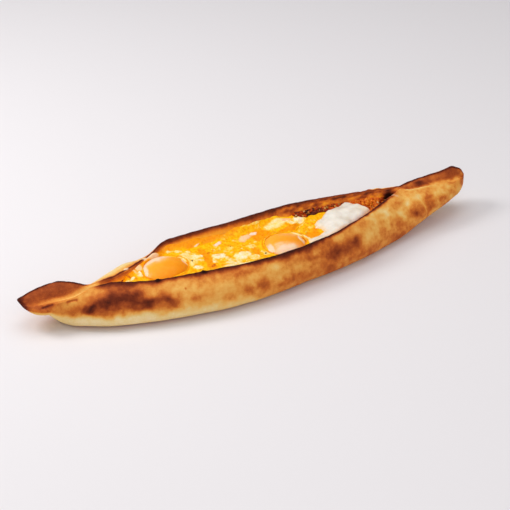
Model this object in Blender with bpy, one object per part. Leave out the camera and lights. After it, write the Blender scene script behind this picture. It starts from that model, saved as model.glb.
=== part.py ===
"""Minced meat and egg pide: a boat of flat bread, baked with its filling.

The dough is one solid, a boat whose two long walls are folded inwards over the filling and pinched
together into a raised tip at each end. In its trough lie the minced meat, a layer of spread egg and
cheese, a fold of set egg white and two whole yolks. Each is a solid of its own.

Frame: +X along the boat towards its thick, blunt tip, +Y across it towards the wall whose rim is folded
flat at the narrow end, +Z up. The origin is under the middle of the bread, on the surface it rests on.
The shapes are given as a boat's lines are: one smooth curve along X for each edge of the bread, through
a few (x, value) points. All sizes are in millimetres until the meshes are made.
"""

import bpy
import numpy as np

MM = 0.001

# Driving dimensions.
HALF_LENGTH = 229.0
LEFT_TIP_FROM = -218.0
RIGHT_TIP_FROM = 212.0
EDGE_ROUND = 11.0
LIP = 4.0
BASE = 9.0
NEAR_SLOPE = 6.0
SEAM_DEPTH = 1.8
DEPTH_TO_WIDTH = 0.95
GAP = 0.4
UNEVEN = 0.7

# The bread's lines.
NEAR_SIDE = ((-229, -4), (-211, -15), (-201, -16), (-185, -24), (-160, -37), (-115, -48.5), (-50, -56.5),
             (25, -48), (80, -38), (125, -24.5), (160, -13.5), (191, -5), (229, 10))
FAR_SIDE = ((-229, 15), (-205, 20), (-172, 14), (-161, 16.8), (-151, 22), (-142, 27), (-128, 34), (-105, 38),
            (-80, 47.5), (45, 56.2), (140, 42.5), (205, 37), (229, 33))
KEEL = ((-229, 18), (-211, 17), (-204, 9), (-196, 1.5), (-188, 0), (130, 0), (160, 5), (191, 13), (229, 20))
NEAR_RIM_Y = ((-229, -3), (-210, -8), (-187, -14), (-166, -9), (-118, -26), (-62, -34), (-15, -37.5), (50, -30),
              (141, 6.5), (152, 12.5), (163, 9.5), (205, 9.5), (229, 12))
NEAR_RIM_Z = ((-229, 23), (-210, 25.5), (-187, 28.5), (-165, 31.5), (-144, 33.5), (0, 34), (95, 36.5), (152, 37),
              (184, 34.5), (229, 33))
FAR_RIM_Y = ((-229, 10), (-206, 10.5), (-168, -3), (-105, 17), (-79, 30.5), (-20, 31.5), (40, 36), (103, 30),
             (154, 21), (175, 24), (229, 22))
FAR_RIM_Z = ((-229, 26), (-213, 30.5), (-188, 35), (-165, 30), (-107, 31), (-86, 34.5), (38, 36), (155, 36),
             (187, 38), (210, 41), (229, 42.5))
# How far the far wall's shoulder lies below its rim, as a share of the wall's height.
FAR_DROP = ((-229, 0.36), (-170, 0.32), (-159, 0.21), (-146, 0.12), (-130, 0.1), (-110, 0.34), (229, 0.34))
NEAR_DROP = 0.2
# How far the far wall's inside leans in, which is less where its rim is folded flat.
FAR_SLOPE = ((-229, 5), (-95, 5), (-65, 11), (229, 11))
# x of where the trough starts and is fully open, and of where it narrows again and ends.
TROUGH_X = (-166.0, -148.0, 140.0, 158.0)

# The filling: x of its ends, and the height of its surfaces.
MEAT_X = (-146.0, 143.0)
EGG_X = (-145.0, 116.0)
MEAT_UNDER_EGG = 22.0
MEAT_SHOWING = 27.0
EGG_TOP = 27.5
# Each yolk: middle (x, y, z), half its length and width, and its height above and below that middle.
YOLKS = {"yolk_left": ((-98.8, -4.2, 27.5), (20.2, 16.9), 7.5, 3.5),
         "yolk_right": ((14.5, -12, 27.5), (18.5, 17.5), 6.5, 3.5)}
WHITE_MIDDLE = (82.5, 6.5, 28.5)
WHITE_HALF = (28.5, 13.5)
WHITE_TURN_DEG = 23.0
WHITE_RISE = 6.0
WHITE_SINK = 3.0

STATIONS = 48
TIP_STATIONS = 5
PER_CORNER = 2
ROWS_ACROSS = 12
PAD_SEGMENTS = 24
PAD_RINGS = 6
PAD_UNEVEN = 0.025

COLOURS = {
    "crust": ((0.62, 0.33, 0.11, 1), 0.7),
    "minced_meat": ((0.30, 0.10, 0.04, 1), 0.55),
    "egg_spread": ((0.95, 0.55, 0.05, 1), 0.35),
    "egg_white": ((0.90, 0.88, 0.82, 1), 0.4),
    "yolk": ((0.95, 0.45, 0.08, 1), 0.25),
}


def curve(table, x):
    """Smooth curve through a table of (x, value): cubic pieces whose slopes never overshoot its points."""
    at, value = np.array(table, float).T
    run = np.diff(at)
    rise = np.diff(value) / run
    slope = np.zeros(len(at))
    slope[0], slope[-1] = rise[0], rise[-1]
    for i in range(1, len(run)):
        if rise[i - 1] * rise[i] > 0:
            left, right = 2 * run[i] + run[i - 1], run[i] + 2 * run[i - 1]
            slope[i] = (left + right) / (left / rise[i - 1] + right / rise[i])
    x = np.clip(x, at[0], at[-1])
    i = np.clip(np.searchsorted(at, x) - 1, 0, len(run) - 1)
    t = (x - at[i]) / run[i]
    start = value[i] * (1 + 2 * t) + slope[i] * run[i] * t
    end = value[i + 1] * (3 - 2 * t) + slope[i + 1] * run[i] * (t - 1)
    return start * (1 - t) ** 2 + end * t ** 2


def ease(x, start, end):
    """0 before start, 1 after end, and a smooth step between."""
    t = np.clip((x - start) / (end - start), 0, 1)
    return t * t * (3 - 2 * t)


def waves(x, y, length):
    """Soft unevenness between about -1 and 1, with swells about as long as length."""
    a, b = 2 * np.pi * x / length, 2 * np.pi * y / length
    return (np.sin(a + 0.7 * b + 0.4) + np.sin(0.61 * a - 1.3 * b + 2.1) + np.sin(1.7 * a + 0.5 * b + 4.0)) / 3


def outer_wall(x, side, middle, rim_y, rim_z, keel, drop, out):
    """Corners of one wall's outside, from the surface it rests on up to its rim. out is -1 near, +1 far."""
    height = rim_z - keel
    r = np.minimum(EDGE_ROUND, 0.45 * height)
    swell = UNEVEN * out * waves(x, 40.0 * out, 52.0)
    lean = side - rim_y
    return [(middle + 0.45 * (side - middle), keel), (side - out * 1.1 * r, keel),
            (side - out * 0.12 * r, keel + 0.3 * r),
            (side + swell, keel + r),
            (rim_y + 0.84 * lean + swell, rim_z - (0.45 + 0.5 * drop) * (height - r)),
            (rim_y + 0.48 * lean + 0.5 * swell, rim_z - drop * (height - r)),
            (rim_y + out * 0.45 * LIP, rim_z - 0.4), (rim_y, rim_z + 0.5)]


def inner_wall(rim_y, rim_z, floor, slope, inward):
    """Corners of one wall's inside, from its rim down to the trough's floor. inward is +1 near, -1 far."""
    lip = np.minimum(LIP, 0.9 * slope)
    depth = rim_z - floor
    return [(rim_y + inward * 0.7 * lip, rim_z - 0.04 * depth),
            (rim_y + inward * (0.75 * lip + 0.25 * slope), rim_z - 0.19 * depth),
            (rim_y + inward * (0.75 * lip + 0.6 * slope), rim_z - 0.4 * depth),
            (rim_y + inward * (0.75 * lip + slope), floor + 0.15 * depth)]


def section_corners(x):
    """Corners of the bread's section at the stations x, as an array (station, corner, (y, z))."""
    near, far, keel = curve(NEAR_SIDE, x), curve(FAR_SIDE, x), curve(KEEL, x)
    near_y, near_z = curve(NEAR_RIM_Y, x), curve(NEAR_RIM_Z, x)
    far_y, far_z = curve(FAR_RIM_Y, x), curve(FAR_RIM_Z, x)
    middle = (near + far) / 2
    near_out = outer_wall(x, near, middle, near_y, near_z, keel, NEAR_DROP, -1)
    far_out = outer_wall(x, far, middle, far_y, far_z, keel, curve(FAR_DROP, x), 1)

    # A narrow trough is shallow, and its walls are steeper.
    width = far_y - near_y
    floor = np.maximum(keel + BASE, np.minimum(near_z, far_z) - DEPTH_TO_WIDTH * width)
    near_in = inner_wall(near_y, near_z, floor, np.minimum(NEAR_SLOPE, 0.16 * width), 1)
    far_in = inner_wall(far_y, far_z, floor, np.minimum(curve(FAR_SLOPE, x), 0.26 * width), -1)
    open_trough = [*near_in, ((near_in[-1][0] + far_in[-1][0]) / 2, floor), *far_in[::-1]]
    # Pinched shut, the same nine corners make the groove beside the near lip and the rise to the crest.
    seam = []
    for across, rise, dip in ((0.12, 0, 0.4), (0.2, 0, 1), (0.3, 0.05, 1), (0.42, 0.2, 0.5), (0.54, 0.4, 0.2),
                              (0.66, 0.6, 0), (0.76, 0.76, 0), (0.85, 0.88, 0), (0.93, 0.97, 0)):
        seam.append((near_y + across * (far_y - near_y), near_z + rise * (far_z - near_z) - dip * SEAM_DEPTH))
    start, full, narrow, end = TROUGH_X
    opened = ease(x, start, full) * (1 - ease(x, narrow, end))
    trough = [(s[0] + opened * (t[0] - s[0]), s[1] + opened * (t[1] - s[1])) for s, t in zip(seam, open_trough)]
    corners = [(middle, keel), *near_out, *trough, *far_out[::-1]]
    return np.array(corners).transpose(2, 0, 1)


TROUGH_CORNERS = (9, 17)


def smooth_outline(corners):
    """Closed smooth curve guided by its corners: the cubic B-spline, read PER_CORNER times for each corner."""
    points = []
    for step in range(PER_CORNER):
        t = step / PER_CORNER
        weights = ((1 - t) ** 3, 3 * t ** 3 - 6 * t ** 2 + 4, 1 + 3 * t + 3 * t ** 2 - 3 * t ** 3, t ** 3)
        points.append(sum(w * np.roll(corners, 1 - i, axis=1) for i, w in enumerate(weights)) / 6)
    return np.stack(points, axis=2).reshape(len(corners), -1, 2)


def new_object(name, points, faces, look):
    """Object from points in millimetres, with the look's own material, shaded smooth."""
    mesh = bpy.data.meshes.new(name)
    mesh.from_pydata([tuple(p) for p in np.asarray(points) * MM], [], faces)
    mesh.shade_smooth()
    colour, roughness = COLOURS[look]
    material = bpy.data.materials.new(name)
    material.use_nodes = True
    shader = material.node_tree.nodes["Principled BSDF"]
    shader.inputs["Base Color"].default_value = colour
    shader.inputs["Roughness"].default_value = roughness
    shader.inputs["Metallic"].default_value = 0.0
    mesh.materials.append(material)
    obj = bpy.data.objects.new(name, mesh)
    bpy.context.collection.objects.link(obj)
    return obj


def loft(name, rings, start_pole, end_pole, look):
    """Closed skin over rings of equal length, each end drawn together to a point. The rings run from
    the middle of the underside towards -Y, so that faces made from one ring to the next point outwards."""
    count, size = rings.shape[:2]
    points = np.vstack([rings.reshape(-1, 3), start_pole, end_pole])
    first, last = count * size, count * size + 1
    faces = []
    for i in range(size):
        j = (i + 1) % size
        faces.append((first, i, j))
        faces.append((last, (count - 1) * size + j, (count - 1) * size + i))
        for row in range(0, (count - 1) * size, size):
            faces.append((row + i, row + size + i, row + size + j, row + j))
    return new_object(name, points, faces, look)


def with_x(x, sections):
    """Sections of (y, z) at the stations x, as rings of (x, y, z)."""
    return np.concatenate([np.broadcast_to(x[:, None, None], (*sections.shape[:2], 1)), sections], axis=2)


def make_crust():
    """The dough: its sections lofted along X, and rounded off over the last stretch of each tip."""
    angle = np.linspace(0, np.pi / 2, TIP_STATIONS, endpoint=False)[1:]
    left = LEFT_TIP_FROM - (HALF_LENGTH + LEFT_TIP_FROM) * np.sin(angle)[::-1]
    right = RIGHT_TIP_FROM + (HALF_LENGTH - RIGHT_TIP_FROM) * np.sin(angle)
    x = np.concatenate([left, np.linspace(LEFT_TIP_FROM, RIGHT_TIP_FROM, STATIONS), right])
    size = np.concatenate([np.cos(angle)[::-1], np.ones(STATIONS), np.cos(angle)])
    sections = smooth_outline(section_corners(x))
    middle = (sections.min(axis=1) + sections.max(axis=1)) / 2
    sections = middle[:, None] + (sections - middle[:, None]) * size[:, None, None]
    tips = [(-HALF_LENGTH, *middle[0]), (HALF_LENGTH, *middle[-1])]
    return loft("crust", with_x(x, sections), *tips, "crust")


def meat_top(x, y):
    """Height of the minced meat's upper side: level under the egg, rough and higher where it shows."""
    showing = ease(x, EGG_X[1] - 14, EGG_X[1] + 6)
    level = MEAT_UNDER_EGG + showing * (MEAT_SHOWING - MEAT_UNDER_EGG)
    return level + (0.3 + 1.1 * showing) * waves(x, y, 23.0)


def egg_top(x, y):
    """Height of the egg layer's upper side, which thins out at both ends."""
    end = ease(x, EGG_X[0], EGG_X[0] + 16) * (1 - ease(x, EGG_X[1] - 16, EGG_X[1]))
    low = meat_top(x, y) + GAP + 0.8
    return low + end * (EGG_TOP + 0.9 * waves(x, y, 37.0) - low)


def trough_inside(x):
    """Points (y, z) of the trough's inside at the stations x, from the near rim to the far rim, moved in by GAP."""
    first, last = TROUGH_CORNERS
    inside = smooth_outline(section_corners(x))[:, first * PER_CORNER:last * PER_CORNER + 1]
    run = np.gradient(inside, axis=1)
    run /= np.linalg.norm(run, axis=2, keepdims=True)
    return inside + GAP * np.stack([-run[..., 1], run[..., 0]], axis=2)


def wall_points(inside, top, x):
    """Where a surface of height top(x, y) meets the two walls of one station's inside, as positions along it."""
    above = inside[:, 1] - top(x, inside[:, 0])
    low = np.argmin(inside[:, 1])
    index = np.arange(len(inside))
    near = np.interp(0, above[:low + 1][::-1], index[:low + 1][::-1])
    far = np.interp(0, above[low:], index[low:])
    return near, far


def make_layer(name, ends, top, bottom, look):
    """A layer of filling from wall to wall. Without a bottom it goes down to the trough's floor."""
    x = np.linspace(LEFT_TIP_FROM, RIGHT_TIP_FROM, STATIONS)
    x = x[(x >= ends[0]) & (x <= ends[1])]
    rings = []
    for at, inside in zip(x, trough_inside(x)):
        index = np.arange(len(inside))

        def on_wall(positions):
            return np.stack([np.interp(positions, index, inside[:, k]) for k in (0, 1)], axis=1)

        near, far = wall_points(inside, top, at)
        across = np.linspace(*on_wall([near, far])[:, 0], ROWS_ACROSS)
        over = np.stack([across, top(at, across)], axis=1)
        if bottom is None:
            under = on_wall(np.linspace(near, far, ROWS_ACROSS))[1:-1]
        else:
            across = np.linspace(*on_wall(wall_points(inside, bottom, at))[:, 0], ROWS_ACROSS)
            under = np.stack([across, bottom(at, across)], axis=1)
        rings.append(np.concatenate([under[::-1], over]))
    rings = with_x(x, np.array(rings))
    return loft(name, rings, rings[0].mean(axis=0), rings[-1].mean(axis=0), look)


def make_pad(name, middle, half, turn, rise, sink, look, grown=0.0):
    """A rounded pad with a domed top and a flatter underside. grown makes it larger all round, as a cutter is."""
    rings = []
    around = np.linspace(0, 2 * np.pi, PAD_SEGMENTS, endpoint=False)
    radius = 1 + PAD_UNEVEN * (np.sin(2 * around + 0.5) + np.sin(3 * around + 2.0) + 0.6 * np.sin(5 * around))
    along = (half[0] + grown) * radius * np.cos(around)
    across = (half[1] + grown) * radius * np.sin(around)
    cos, sin = np.cos(turn), np.sin(turn)
    for tilt in np.linspace(-90, 90, PAD_RINGS + 2)[1:-1]:
        share = np.cos(np.radians(tilt)) ** 0.8
        height = np.sin(np.radians(tilt)) * ((rise if tilt > 0 else sink) + grown)
        ring = [middle[0] + share * (along * cos - across * sin), middle[1] + share * (along * sin + across * cos),
                np.full(PAD_SEGMENTS, middle[2] + height)]
        rings.append(np.stack(ring, axis=1)[::-1])
    bottom = (middle[0], middle[1], middle[2] - sink - grown)
    top = (middle[0], middle[1], middle[2] + rise + grown)
    return loft(name, np.array(rings), bottom, top, look)


def cut(obj, cutter):
    """Take the cutter's space out of obj."""
    modifier = obj.modifiers.new("pocket_" + cutter.name, "BOOLEAN")
    modifier.operation = "DIFFERENCE"
    modifier.solver = "MANIFOLD"
    modifier.object = cutter
    cutter.display_type = "WIRE"
    cutter.hide_render = True


def make_filling():
    """The meat, the egg layer on it, and the yolks and the fold of white, each seated in a pocket of its own."""
    meat = make_layer("minced_meat", MEAT_X, meat_top, None, "minced_meat")
    egg = make_layer("egg_layer", EGG_X, egg_top, lambda x, y: meat_top(x, y) + GAP, "egg_spread")
    pads = {name: (middle, half, 0.0, rise, sink, "yolk")
            for name, (middle, half, rise, sink) in YOLKS.items()}
    pads["egg_white"] = (WHITE_MIDDLE, WHITE_HALF, np.radians(WHITE_TURN_DEG), WHITE_RISE, WHITE_SINK, "egg_white")
    for name, shape in pads.items():
        make_pad(name, *shape)
        cut(egg, make_pad("room_for_" + name, *shape, grown=GAP))
    cut(meat, bpy.data.objects["room_for_egg_white"])


def remove_all():
    """Empty the scene."""
    for obj in list(bpy.data.objects):
        bpy.data.objects.remove(obj, do_unlink=True)


remove_all()
make_crust()
make_filling()
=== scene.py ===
"""Minced meat and egg pide: the finish of the baked boat of dough and of its filling.

Every shape is worked out in millimetres, as arrays, and turned to metres when its mesh is made.
x runs along the bread towards its blunt tip, y across it away from the near wall, z up from the table.
Colours and relief are laid on together: the same listed marks and soft random fields that raise a
blister or sink a crease are also stored on the mesh, where the materials read them.
"""
from itertools import product
import bpy
import numpy as np
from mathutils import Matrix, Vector


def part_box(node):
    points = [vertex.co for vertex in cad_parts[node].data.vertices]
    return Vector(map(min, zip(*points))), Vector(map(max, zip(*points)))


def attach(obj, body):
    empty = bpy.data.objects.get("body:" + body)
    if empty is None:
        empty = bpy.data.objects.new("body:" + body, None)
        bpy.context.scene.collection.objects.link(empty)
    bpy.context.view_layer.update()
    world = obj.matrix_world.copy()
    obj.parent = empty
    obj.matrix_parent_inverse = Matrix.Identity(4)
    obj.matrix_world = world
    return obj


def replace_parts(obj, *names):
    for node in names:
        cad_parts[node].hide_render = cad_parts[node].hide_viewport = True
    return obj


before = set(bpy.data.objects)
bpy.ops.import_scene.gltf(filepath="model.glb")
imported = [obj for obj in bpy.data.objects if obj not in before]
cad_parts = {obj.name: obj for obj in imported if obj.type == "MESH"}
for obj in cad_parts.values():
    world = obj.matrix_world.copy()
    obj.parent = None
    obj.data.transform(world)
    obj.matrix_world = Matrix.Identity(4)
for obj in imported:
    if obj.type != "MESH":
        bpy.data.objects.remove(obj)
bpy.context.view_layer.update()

MM = 0.001


def node_box(node):
    """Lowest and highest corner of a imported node, in millimetres."""
    low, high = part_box(node)
    return np.array(low) / MM, np.array(high) / MM


# ---------------------------------------------------------------- the bread's lines

HALF_LENGTH = node_box("crust")[1][0]
LEFT_TIP_FROM = -218.0
RIGHT_TIP_FROM = 212.0
# The round of the foot, the thickness of the rims, the least dough under the trough, how far the near wall's
# inside leans in, the dip of the pinched seam, the trough's depth as a share of its width, the swell of the
# outside, and how far the near wall's shoulder lies below its rim, as a share of the wall's height.
EDGE_ROUND = 11.0
LIP = 4.0
BASE = 9.0
NEAR_SLOPE = 6.0
SEAM_DEPTH = 1.8
DEPTH_TO_WIDTH = 0.95
UNEVEN = 0.7
NEAR_DROP = 0.2
# y and z of the point that the sections are drawn in to at each end.
LEFT_TIP, RIGHT_TIP = (8.5, 25.0), (21.5, 32.0)

NEAR_SIDE = ((-229, -4), (-211, -15), (-201, -16), (-185, -24), (-160, -37), (-115, -48.5), (-50, -56.5),
             (25, -48), (80, -38), (125, -24.5), (160, -13.5), (191, -5), (229, 10))
FAR_SIDE = ((-229, 15), (-205, 20), (-172, 14), (-161, 16.8), (-151, 22), (-142, 27), (-128, 34),
            (-105, 38), (-80, 47.5), (45, 56.2), (140, 42.5), (205, 37), (229, 33))
KEEL = ((-229, 18), (-211, 17), (-204, 9), (-196, 1.5), (-188, 0), (130, 0), (160, 5), (191, 13), (229, 20))
NEAR_RIM_Y = ((-229, -3), (-210, -8), (-187, -14), (-166, -9), (-118, -26), (-62, -34), (-15, -37.5),
              (50, -30), (141, 6.5), (152, 12.5), (163, 9.5), (205, 9.5), (229, 12))
NEAR_RIM_Z = ((-229, 23), (-210, 25.5), (-187, 28.5), (-165, 31.5), (-144, 33.5), (0, 34), (95, 36.5),
              (152, 37), (184, 34.5), (229, 33))
FAR_RIM_Y = ((-229, 10), (-206, 10.5), (-168, -3), (-105, 17), (-79, 30.5), (-20, 31.5), (40, 36), (103, 30),
             (154, 21), (175, 24), (229, 22))
FAR_RIM_Z = ((-229, 26), (-213, 30.5), (-188, 35), (-165, 30), (-107, 31), (-86, 34.5), (38, 36), (155, 36),
             (187, 38), (210, 41), (229, 42.5))
# The same share for the far wall, how far its inside leans in, and x of where the trough starts and is fully
# open, and of where it narrows again and ends.
FAR_DROP = ((-229, 0.36), (-170, 0.32), (-159, 0.21), (-146, 0.12), (-130, 0.1), (-110, 0.34), (229, 0.34))
FAR_SLOPE = ((-229, 5), (-95, 5), (-65, 11), (229, 11))
TROUGH_X = (-166.0, -148.0, 140.0, 158.0)
# Across, rise and dip of the nine corners of the pinched seam, as shares of the way from rim to rim.
SEAM = ((0.12, 0, 0.4), (0.2, 0, 1), (0.3, 0.05, 1), (0.42, 0.2, 0.5), (0.54, 0.4, 0.2), (0.66, 0.6, 0),
        (0.76, 0.76, 0), (0.85, 0.88, 0), (0.93, 0.97, 0))
NEAR_RIM, FAR_RIM, ALL_CORNERS = 8, 18, 26

# How dark each wall is baked along the bread, from 0, raw and pale, to 1, charred: at its foot, its middle
# and its top. FOOT is how far up the wall, as a share of its height, the pale foot reaches.
LOW_BAKE = ((-229, 0.4), (-212, 0.22), (-200, 0.12), (-180, 0.07), (-90, 0.12), (-40, 0.22), (0, 0.44),
            (40, 0.54), (65, 0.5), (110, 0.53), (160, 0.47), (200, 0.42), (229, 0.42))
MIDDLE_BAKE = ((-229, 0.6), (-212, 0.54), (-200, 0.4), (-184, 0.46), (-160, 0.5), (-140, 0.5), (-126, 0.42),
               (-112, 0.4), (-98, 0.34), (-20, 0.34), (25, 0.44), (75, 0.45), (100, 0.33), (150, 0.35),
               (175, 0.41), (229, 0.42))
TOP_BAKE = ((-229, 0.64), (-212, 0.58), (-198, 0.36), (-190, 0.34), (-176, 0.36), (-166, 0.36), (-154, 0.5),
            (-142, 0.52), (-134, 0.5), (-127, 0.4), (-114, 0.46), (-90, 0.42), (-60, 0.38), (0, 0.44),
            (70, 0.48), (100, 0.34), (150, 0.31), (200, 0.38), (229, 0.42))
FOOT = ((-229, 0.5), (-200, 0.48), (-150, 0.42), (-110, 0.37), (-60, 0.27), (-22, 0.18), (0, 0.24),
        (30, 0.38), (110, 0.4), (160, 0.3), (229, 0.2))
# How far down the near wall's outside the burnt band below its rim reaches.
NEAR_BAND = ((-229, 4), (-165, 4.5), (-140, 5.4), (-118, 4.6), (-90, 4.4), (-40, 4.8), (0, 5.5), (30, 5),
             (60, 2.6), (90, 1.8), (150, 2.0))
# Scorched and pale marks: x, y, z of the middle, half length, half height, and how much darker it is.
MARKS = (
    (-160, -28, 25, 28, 12, 0.22), (-156, -29, 26, 13, 8, 0.16), (-166, -26, 24, 9, 6, 0.1),
    (-178, -25, 20, 8, 5, 0.32), (-136, -32, 30, 13, 6, 0.2), (-146, -32, 25, 10, 8, 0.1),
    (-135, -37, 21, 15, 8, 0.17), (-191, -19, 19, 10, 6, 0.08), (-121, -41, 22, 16, 7, 0.18),
    (-118, -42, 24, 9, 5, 0.06), (-111, -46, 19, 7, 7, 0.24), (-128, -39, 23, 8, 6, 0.1),
    (-103, -46, 21, 5, 8, 0.06), (-87, -50, 20, 12, 5, 0.14), (-60, -55, 16, 13, 5, 0.14),
    (-41, -54, 17, 6, 6, 0.2), (-25, -53, 18, 10, 8, 0.22), (9, -49, 14, 22, 7, 0.14),
    (-7, -52, 12, 12, 6, 0.12), (57, -39, 23, 15, 9, 0.14), (54, -40, 24, 9, 6, 0.04),
    (78, -34, 25, 8, 7, 0.15), (62, -39, 20, 36, 13, 0.08), (21, -43, 27, 16, 4, 0.12),
    (-49, -45, 29, 26, 3, 0.06), (134, -18, 20, 7, 7, 0.18), (132, -19, 20, 13, 10, 0.06),
    (114, -25, 20, 9, 7, 0.1), (156, -11, 23, 8, 8, 0.16), (147, -11, 25, 10, 6, 0.1),
    (175, -5, 27, 8, 10, 0.22), (189, -3, 24, 8, 9, 0.12), (128, -10, 32, 5, 3, 0.1),
    (111, -15, 33, 6, 3, 0.1), (141, -3, 33, 5, 4, 0.08), (211, 18, 38, 8, 5, 0.02),
    (176, 17, 36, 8, 4, 0.26), (194, 14, 35, 11, 5, 0.06), (223, 13, 33, 6, 12, 0.06),
    (-9, -45, 29, 12, 4, -0.12), (30, -41, 29, 10, 3, -0.1), (105, -19, 31, 16, 5, -0.1),
    (125, -14, 30, 10, 5, -0.1), (149, -4, 31, 7, 4, -0.15), (142, -13, 25, 8, 5, -0.06),
    (-70, -47, 26, 16, 5, -0.07), (-100, -39, 29, 16, 4, -0.04), (191, 2, 31, 14, 5, -0.08),
    (214, 12, 32, 7, 6, -0.04), (-95, -42, 28, 1.2, 1.2, 0.3), (97, -28, 26, 12, 6, -0.1),
    (-104, 36, 20, 20, 9, 0.3), (-96, 38, 20, 9, 5, 0.16), (-39, 50, 20, 12, 8, 0.26),
    (34, 53, 23, 22, 9, 0.28), (27, 53, 24, 9, 5, 0.14), (95, 48, 20, 9, 8, 0.26),
    (150, 38, 26, 10, 8, 0.26), (190, 36, 29, 13, 8, 0.24), (-182, 16, 24, 10, 8, 0.28),
    (70, 53, 15, 16, 7, 0.2), (0, 54, 13, 14, 7, 0.16),
)
# Burnt nubs and bumps of dough: x, y, z, radius, height.
NUBS = ((-115, -27, 34, 1.6, 1.4), (-74, -32.5, 34.5, 2.0, 1.3), (-75, -33, 34.5, 1.0, 0.7),
        (126, 27.5, 36.5, 4.0, 1.5), (134, 26, 36.5, 4.0, 1.2), (142, 25, 36.5, 4.0, 0.7),
        (149, 24, 36.5, 3.0, 1.0), (-106, -29, 34, 1.5, 0.5), (153, 20, 37, 2.4, 1.0),
        (203, 22, 40, 6.0, -0.8), (216, 21, 41, 4.5, 1.2), (-228, 8, 28, 3.2, 2.2))
# Creases: x, y, z of both ends, half width, depth (a ridge where it is negative), how much darker: painted
# shade in the grooves, and paler along the ridges.
CREASES = (((-193, -15, 27), (-185, -16.5, 27), 0.7, 0.5, 0.24),
           ((-213, -10, 24), (-205, -11, 25), 1.1, 0.5, 0.24),
           ((164, -1, 33), (168, -8, 26), 0.7, -0.35, -0.1),
           ((168, -8, 26), (170, -13, 19), 0.7, -0.3, -0.08),
           ((-184.2, -12, 28), (-183.8, -12, 28), 0.7, 0.3, 0.5))


def curve(table, x):
    """Smooth curve through a table of (x, value): cubic pieces whose slopes never overshoot its points."""
    at, value = np.array(table, float).T
    run = np.diff(at)
    rise = np.diff(value) / run
    slope = np.zeros(len(at))
    slope[0], slope[-1] = rise[0], rise[-1]
    left, right = 2 * run[1:] + run[:-1], run[1:] + 2 * run[:-1]
    same_way = rise[:-1] * rise[1:] > 0
    before, after = np.where(same_way, rise[:-1], 1), np.where(same_way, rise[1:], 1)
    slope[1:-1] = np.where(same_way, (left + right) / (left / before + right / after), 0)
    x = np.clip(x, at[0], at[-1])
    i = np.clip(np.searchsorted(at, x) - 1, 0, len(run) - 1)
    t = (x - at[i]) / run[i]
    start = value[i] * (1 + 2 * t) + slope[i] * run[i] * t
    end = value[i + 1] * (3 - 2 * t) + slope[i + 1] * run[i] * (t - 1)
    return start * (1 - t) ** 2 + end * t ** 2


def ease(x, start, end):
    """0 before start, 1 after end, and a smooth step between."""
    t = np.clip((x - start) / (end - start), 0, 1)
    return t * t * (3 - 2 * t)


def waves(x, y, length):
    """Soft unevenness between about -1 and 1: three crossed sine waves about as long as length."""
    a, b = 2 * np.pi * x / length, 2 * np.pi * y / length
    first, second = np.sin(a + 0.7 * b + 0.4), np.sin(0.61 * a - 1.3 * b + 2.1)
    return (first + second + np.sin(1.7 * a + 0.5 * b + 4.0)) / 3


def lattice(cell, seed):
    """A random value from 0 to 1 for each whole-numbered cell: its coordinates times large odd numbers, added
    and mixed."""
    n = cell.astype(np.int64)
    h = n[..., 0] * 374761393 + n[..., 1] * 668265263 + n[..., 2] * 2147483629 + seed * 1274126177
    h = h & 0xFFFFFFFF
    h = ((h ^ (h >> 13)) * 1274126177) & 0xFFFFFFFF
    h = h ^ (h >> 16)
    return (h & 0xFFFFFF) / 0xFFFFFF


def noise(points, size, seed):
    """Smooth random field from -1 to 1: lattice values eased into each other over cells of that size."""
    place = points / np.asarray(size, float)
    cell = np.floor(place)
    t = place - cell
    t = t * t * t * (t * (6 * t - 15) + 10)
    total = 0
    for corner in product((0, 1), repeat=3):
        weight = np.where(corner, t, 1 - t).prod(axis=-1)
        total = total + weight * lattice(cell + corner, seed)
    return 2 * total - 1


def rough(points, size, seed, octaves=3):
    """Noise on noise: each octave half as large and half as strong, scaled back to about -1 to 1."""
    layers = [noise(points, np.asarray(size, float) / 2 ** k, seed + k) / 2 ** k for k in range(octaves)]
    return sum(layers) / (2 - 2.0 ** (1 - octaves))


def grains(points, size, seed):
    """Distance to the nearest of the grains' middles, one at a random place in each cell, as a share of
    size."""
    place = points / np.asarray(size, float)
    cell = np.floor(place)
    nearest = np.full(points.shape[:-1], 9.0)
    for step in product((-1, 0, 1), repeat=3):
        there = cell + step
        middle = there + np.stack([lattice(there, seed + k) for k in range(3)], axis=-1)
        nearest = np.minimum(nearest, ((place - middle) ** 2).sum(axis=-1))
    return np.sqrt(nearest)


def outer_wall(x, side, middle, rim_y, rim_z, keel, drop, out):
    """Corners of one wall's outside, from the surface it rests on up to its rim. out is -1 near, +1 far."""
    height = rim_z - keel
    r = np.minimum(EDGE_ROUND, 0.45 * height)
    swell = UNEVEN * out * waves(x, 40.0 * out, 52.0)
    lean = side - rim_y
    return [(middle + 0.45 * (side - middle), keel), (side - out * 1.1 * r, keel),
            (side - out * 0.12 * r, keel + 0.3 * r),
            (side + swell, keel + r),
            (rim_y + 0.84 * lean + swell, rim_z - (0.45 + 0.5 * drop) * (height - r)),
            (rim_y + 0.48 * lean + 0.5 * swell, rim_z - drop * (height - r)),
            (rim_y + out * 0.45 * LIP, rim_z - 0.4), (rim_y, rim_z + 0.5)]


def inner_wall(rim_y, rim_z, floor, slope, inward):
    """Corners of one wall's inside, from its rim down to the trough's floor. inward is +1 near, -1 far."""
    lip = np.minimum(LIP, 0.9 * slope)
    depth = rim_z - floor
    return [(rim_y + inward * 0.7 * lip, rim_z - 0.04 * depth),
            (rim_y + inward * (0.75 * lip + 0.25 * slope), rim_z - 0.19 * depth),
            (rim_y + inward * (0.75 * lip + 0.6 * slope), rim_z - 0.4 * depth),
            (rim_y + inward * (0.75 * lip + slope), floor + 0.15 * depth)]


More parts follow.
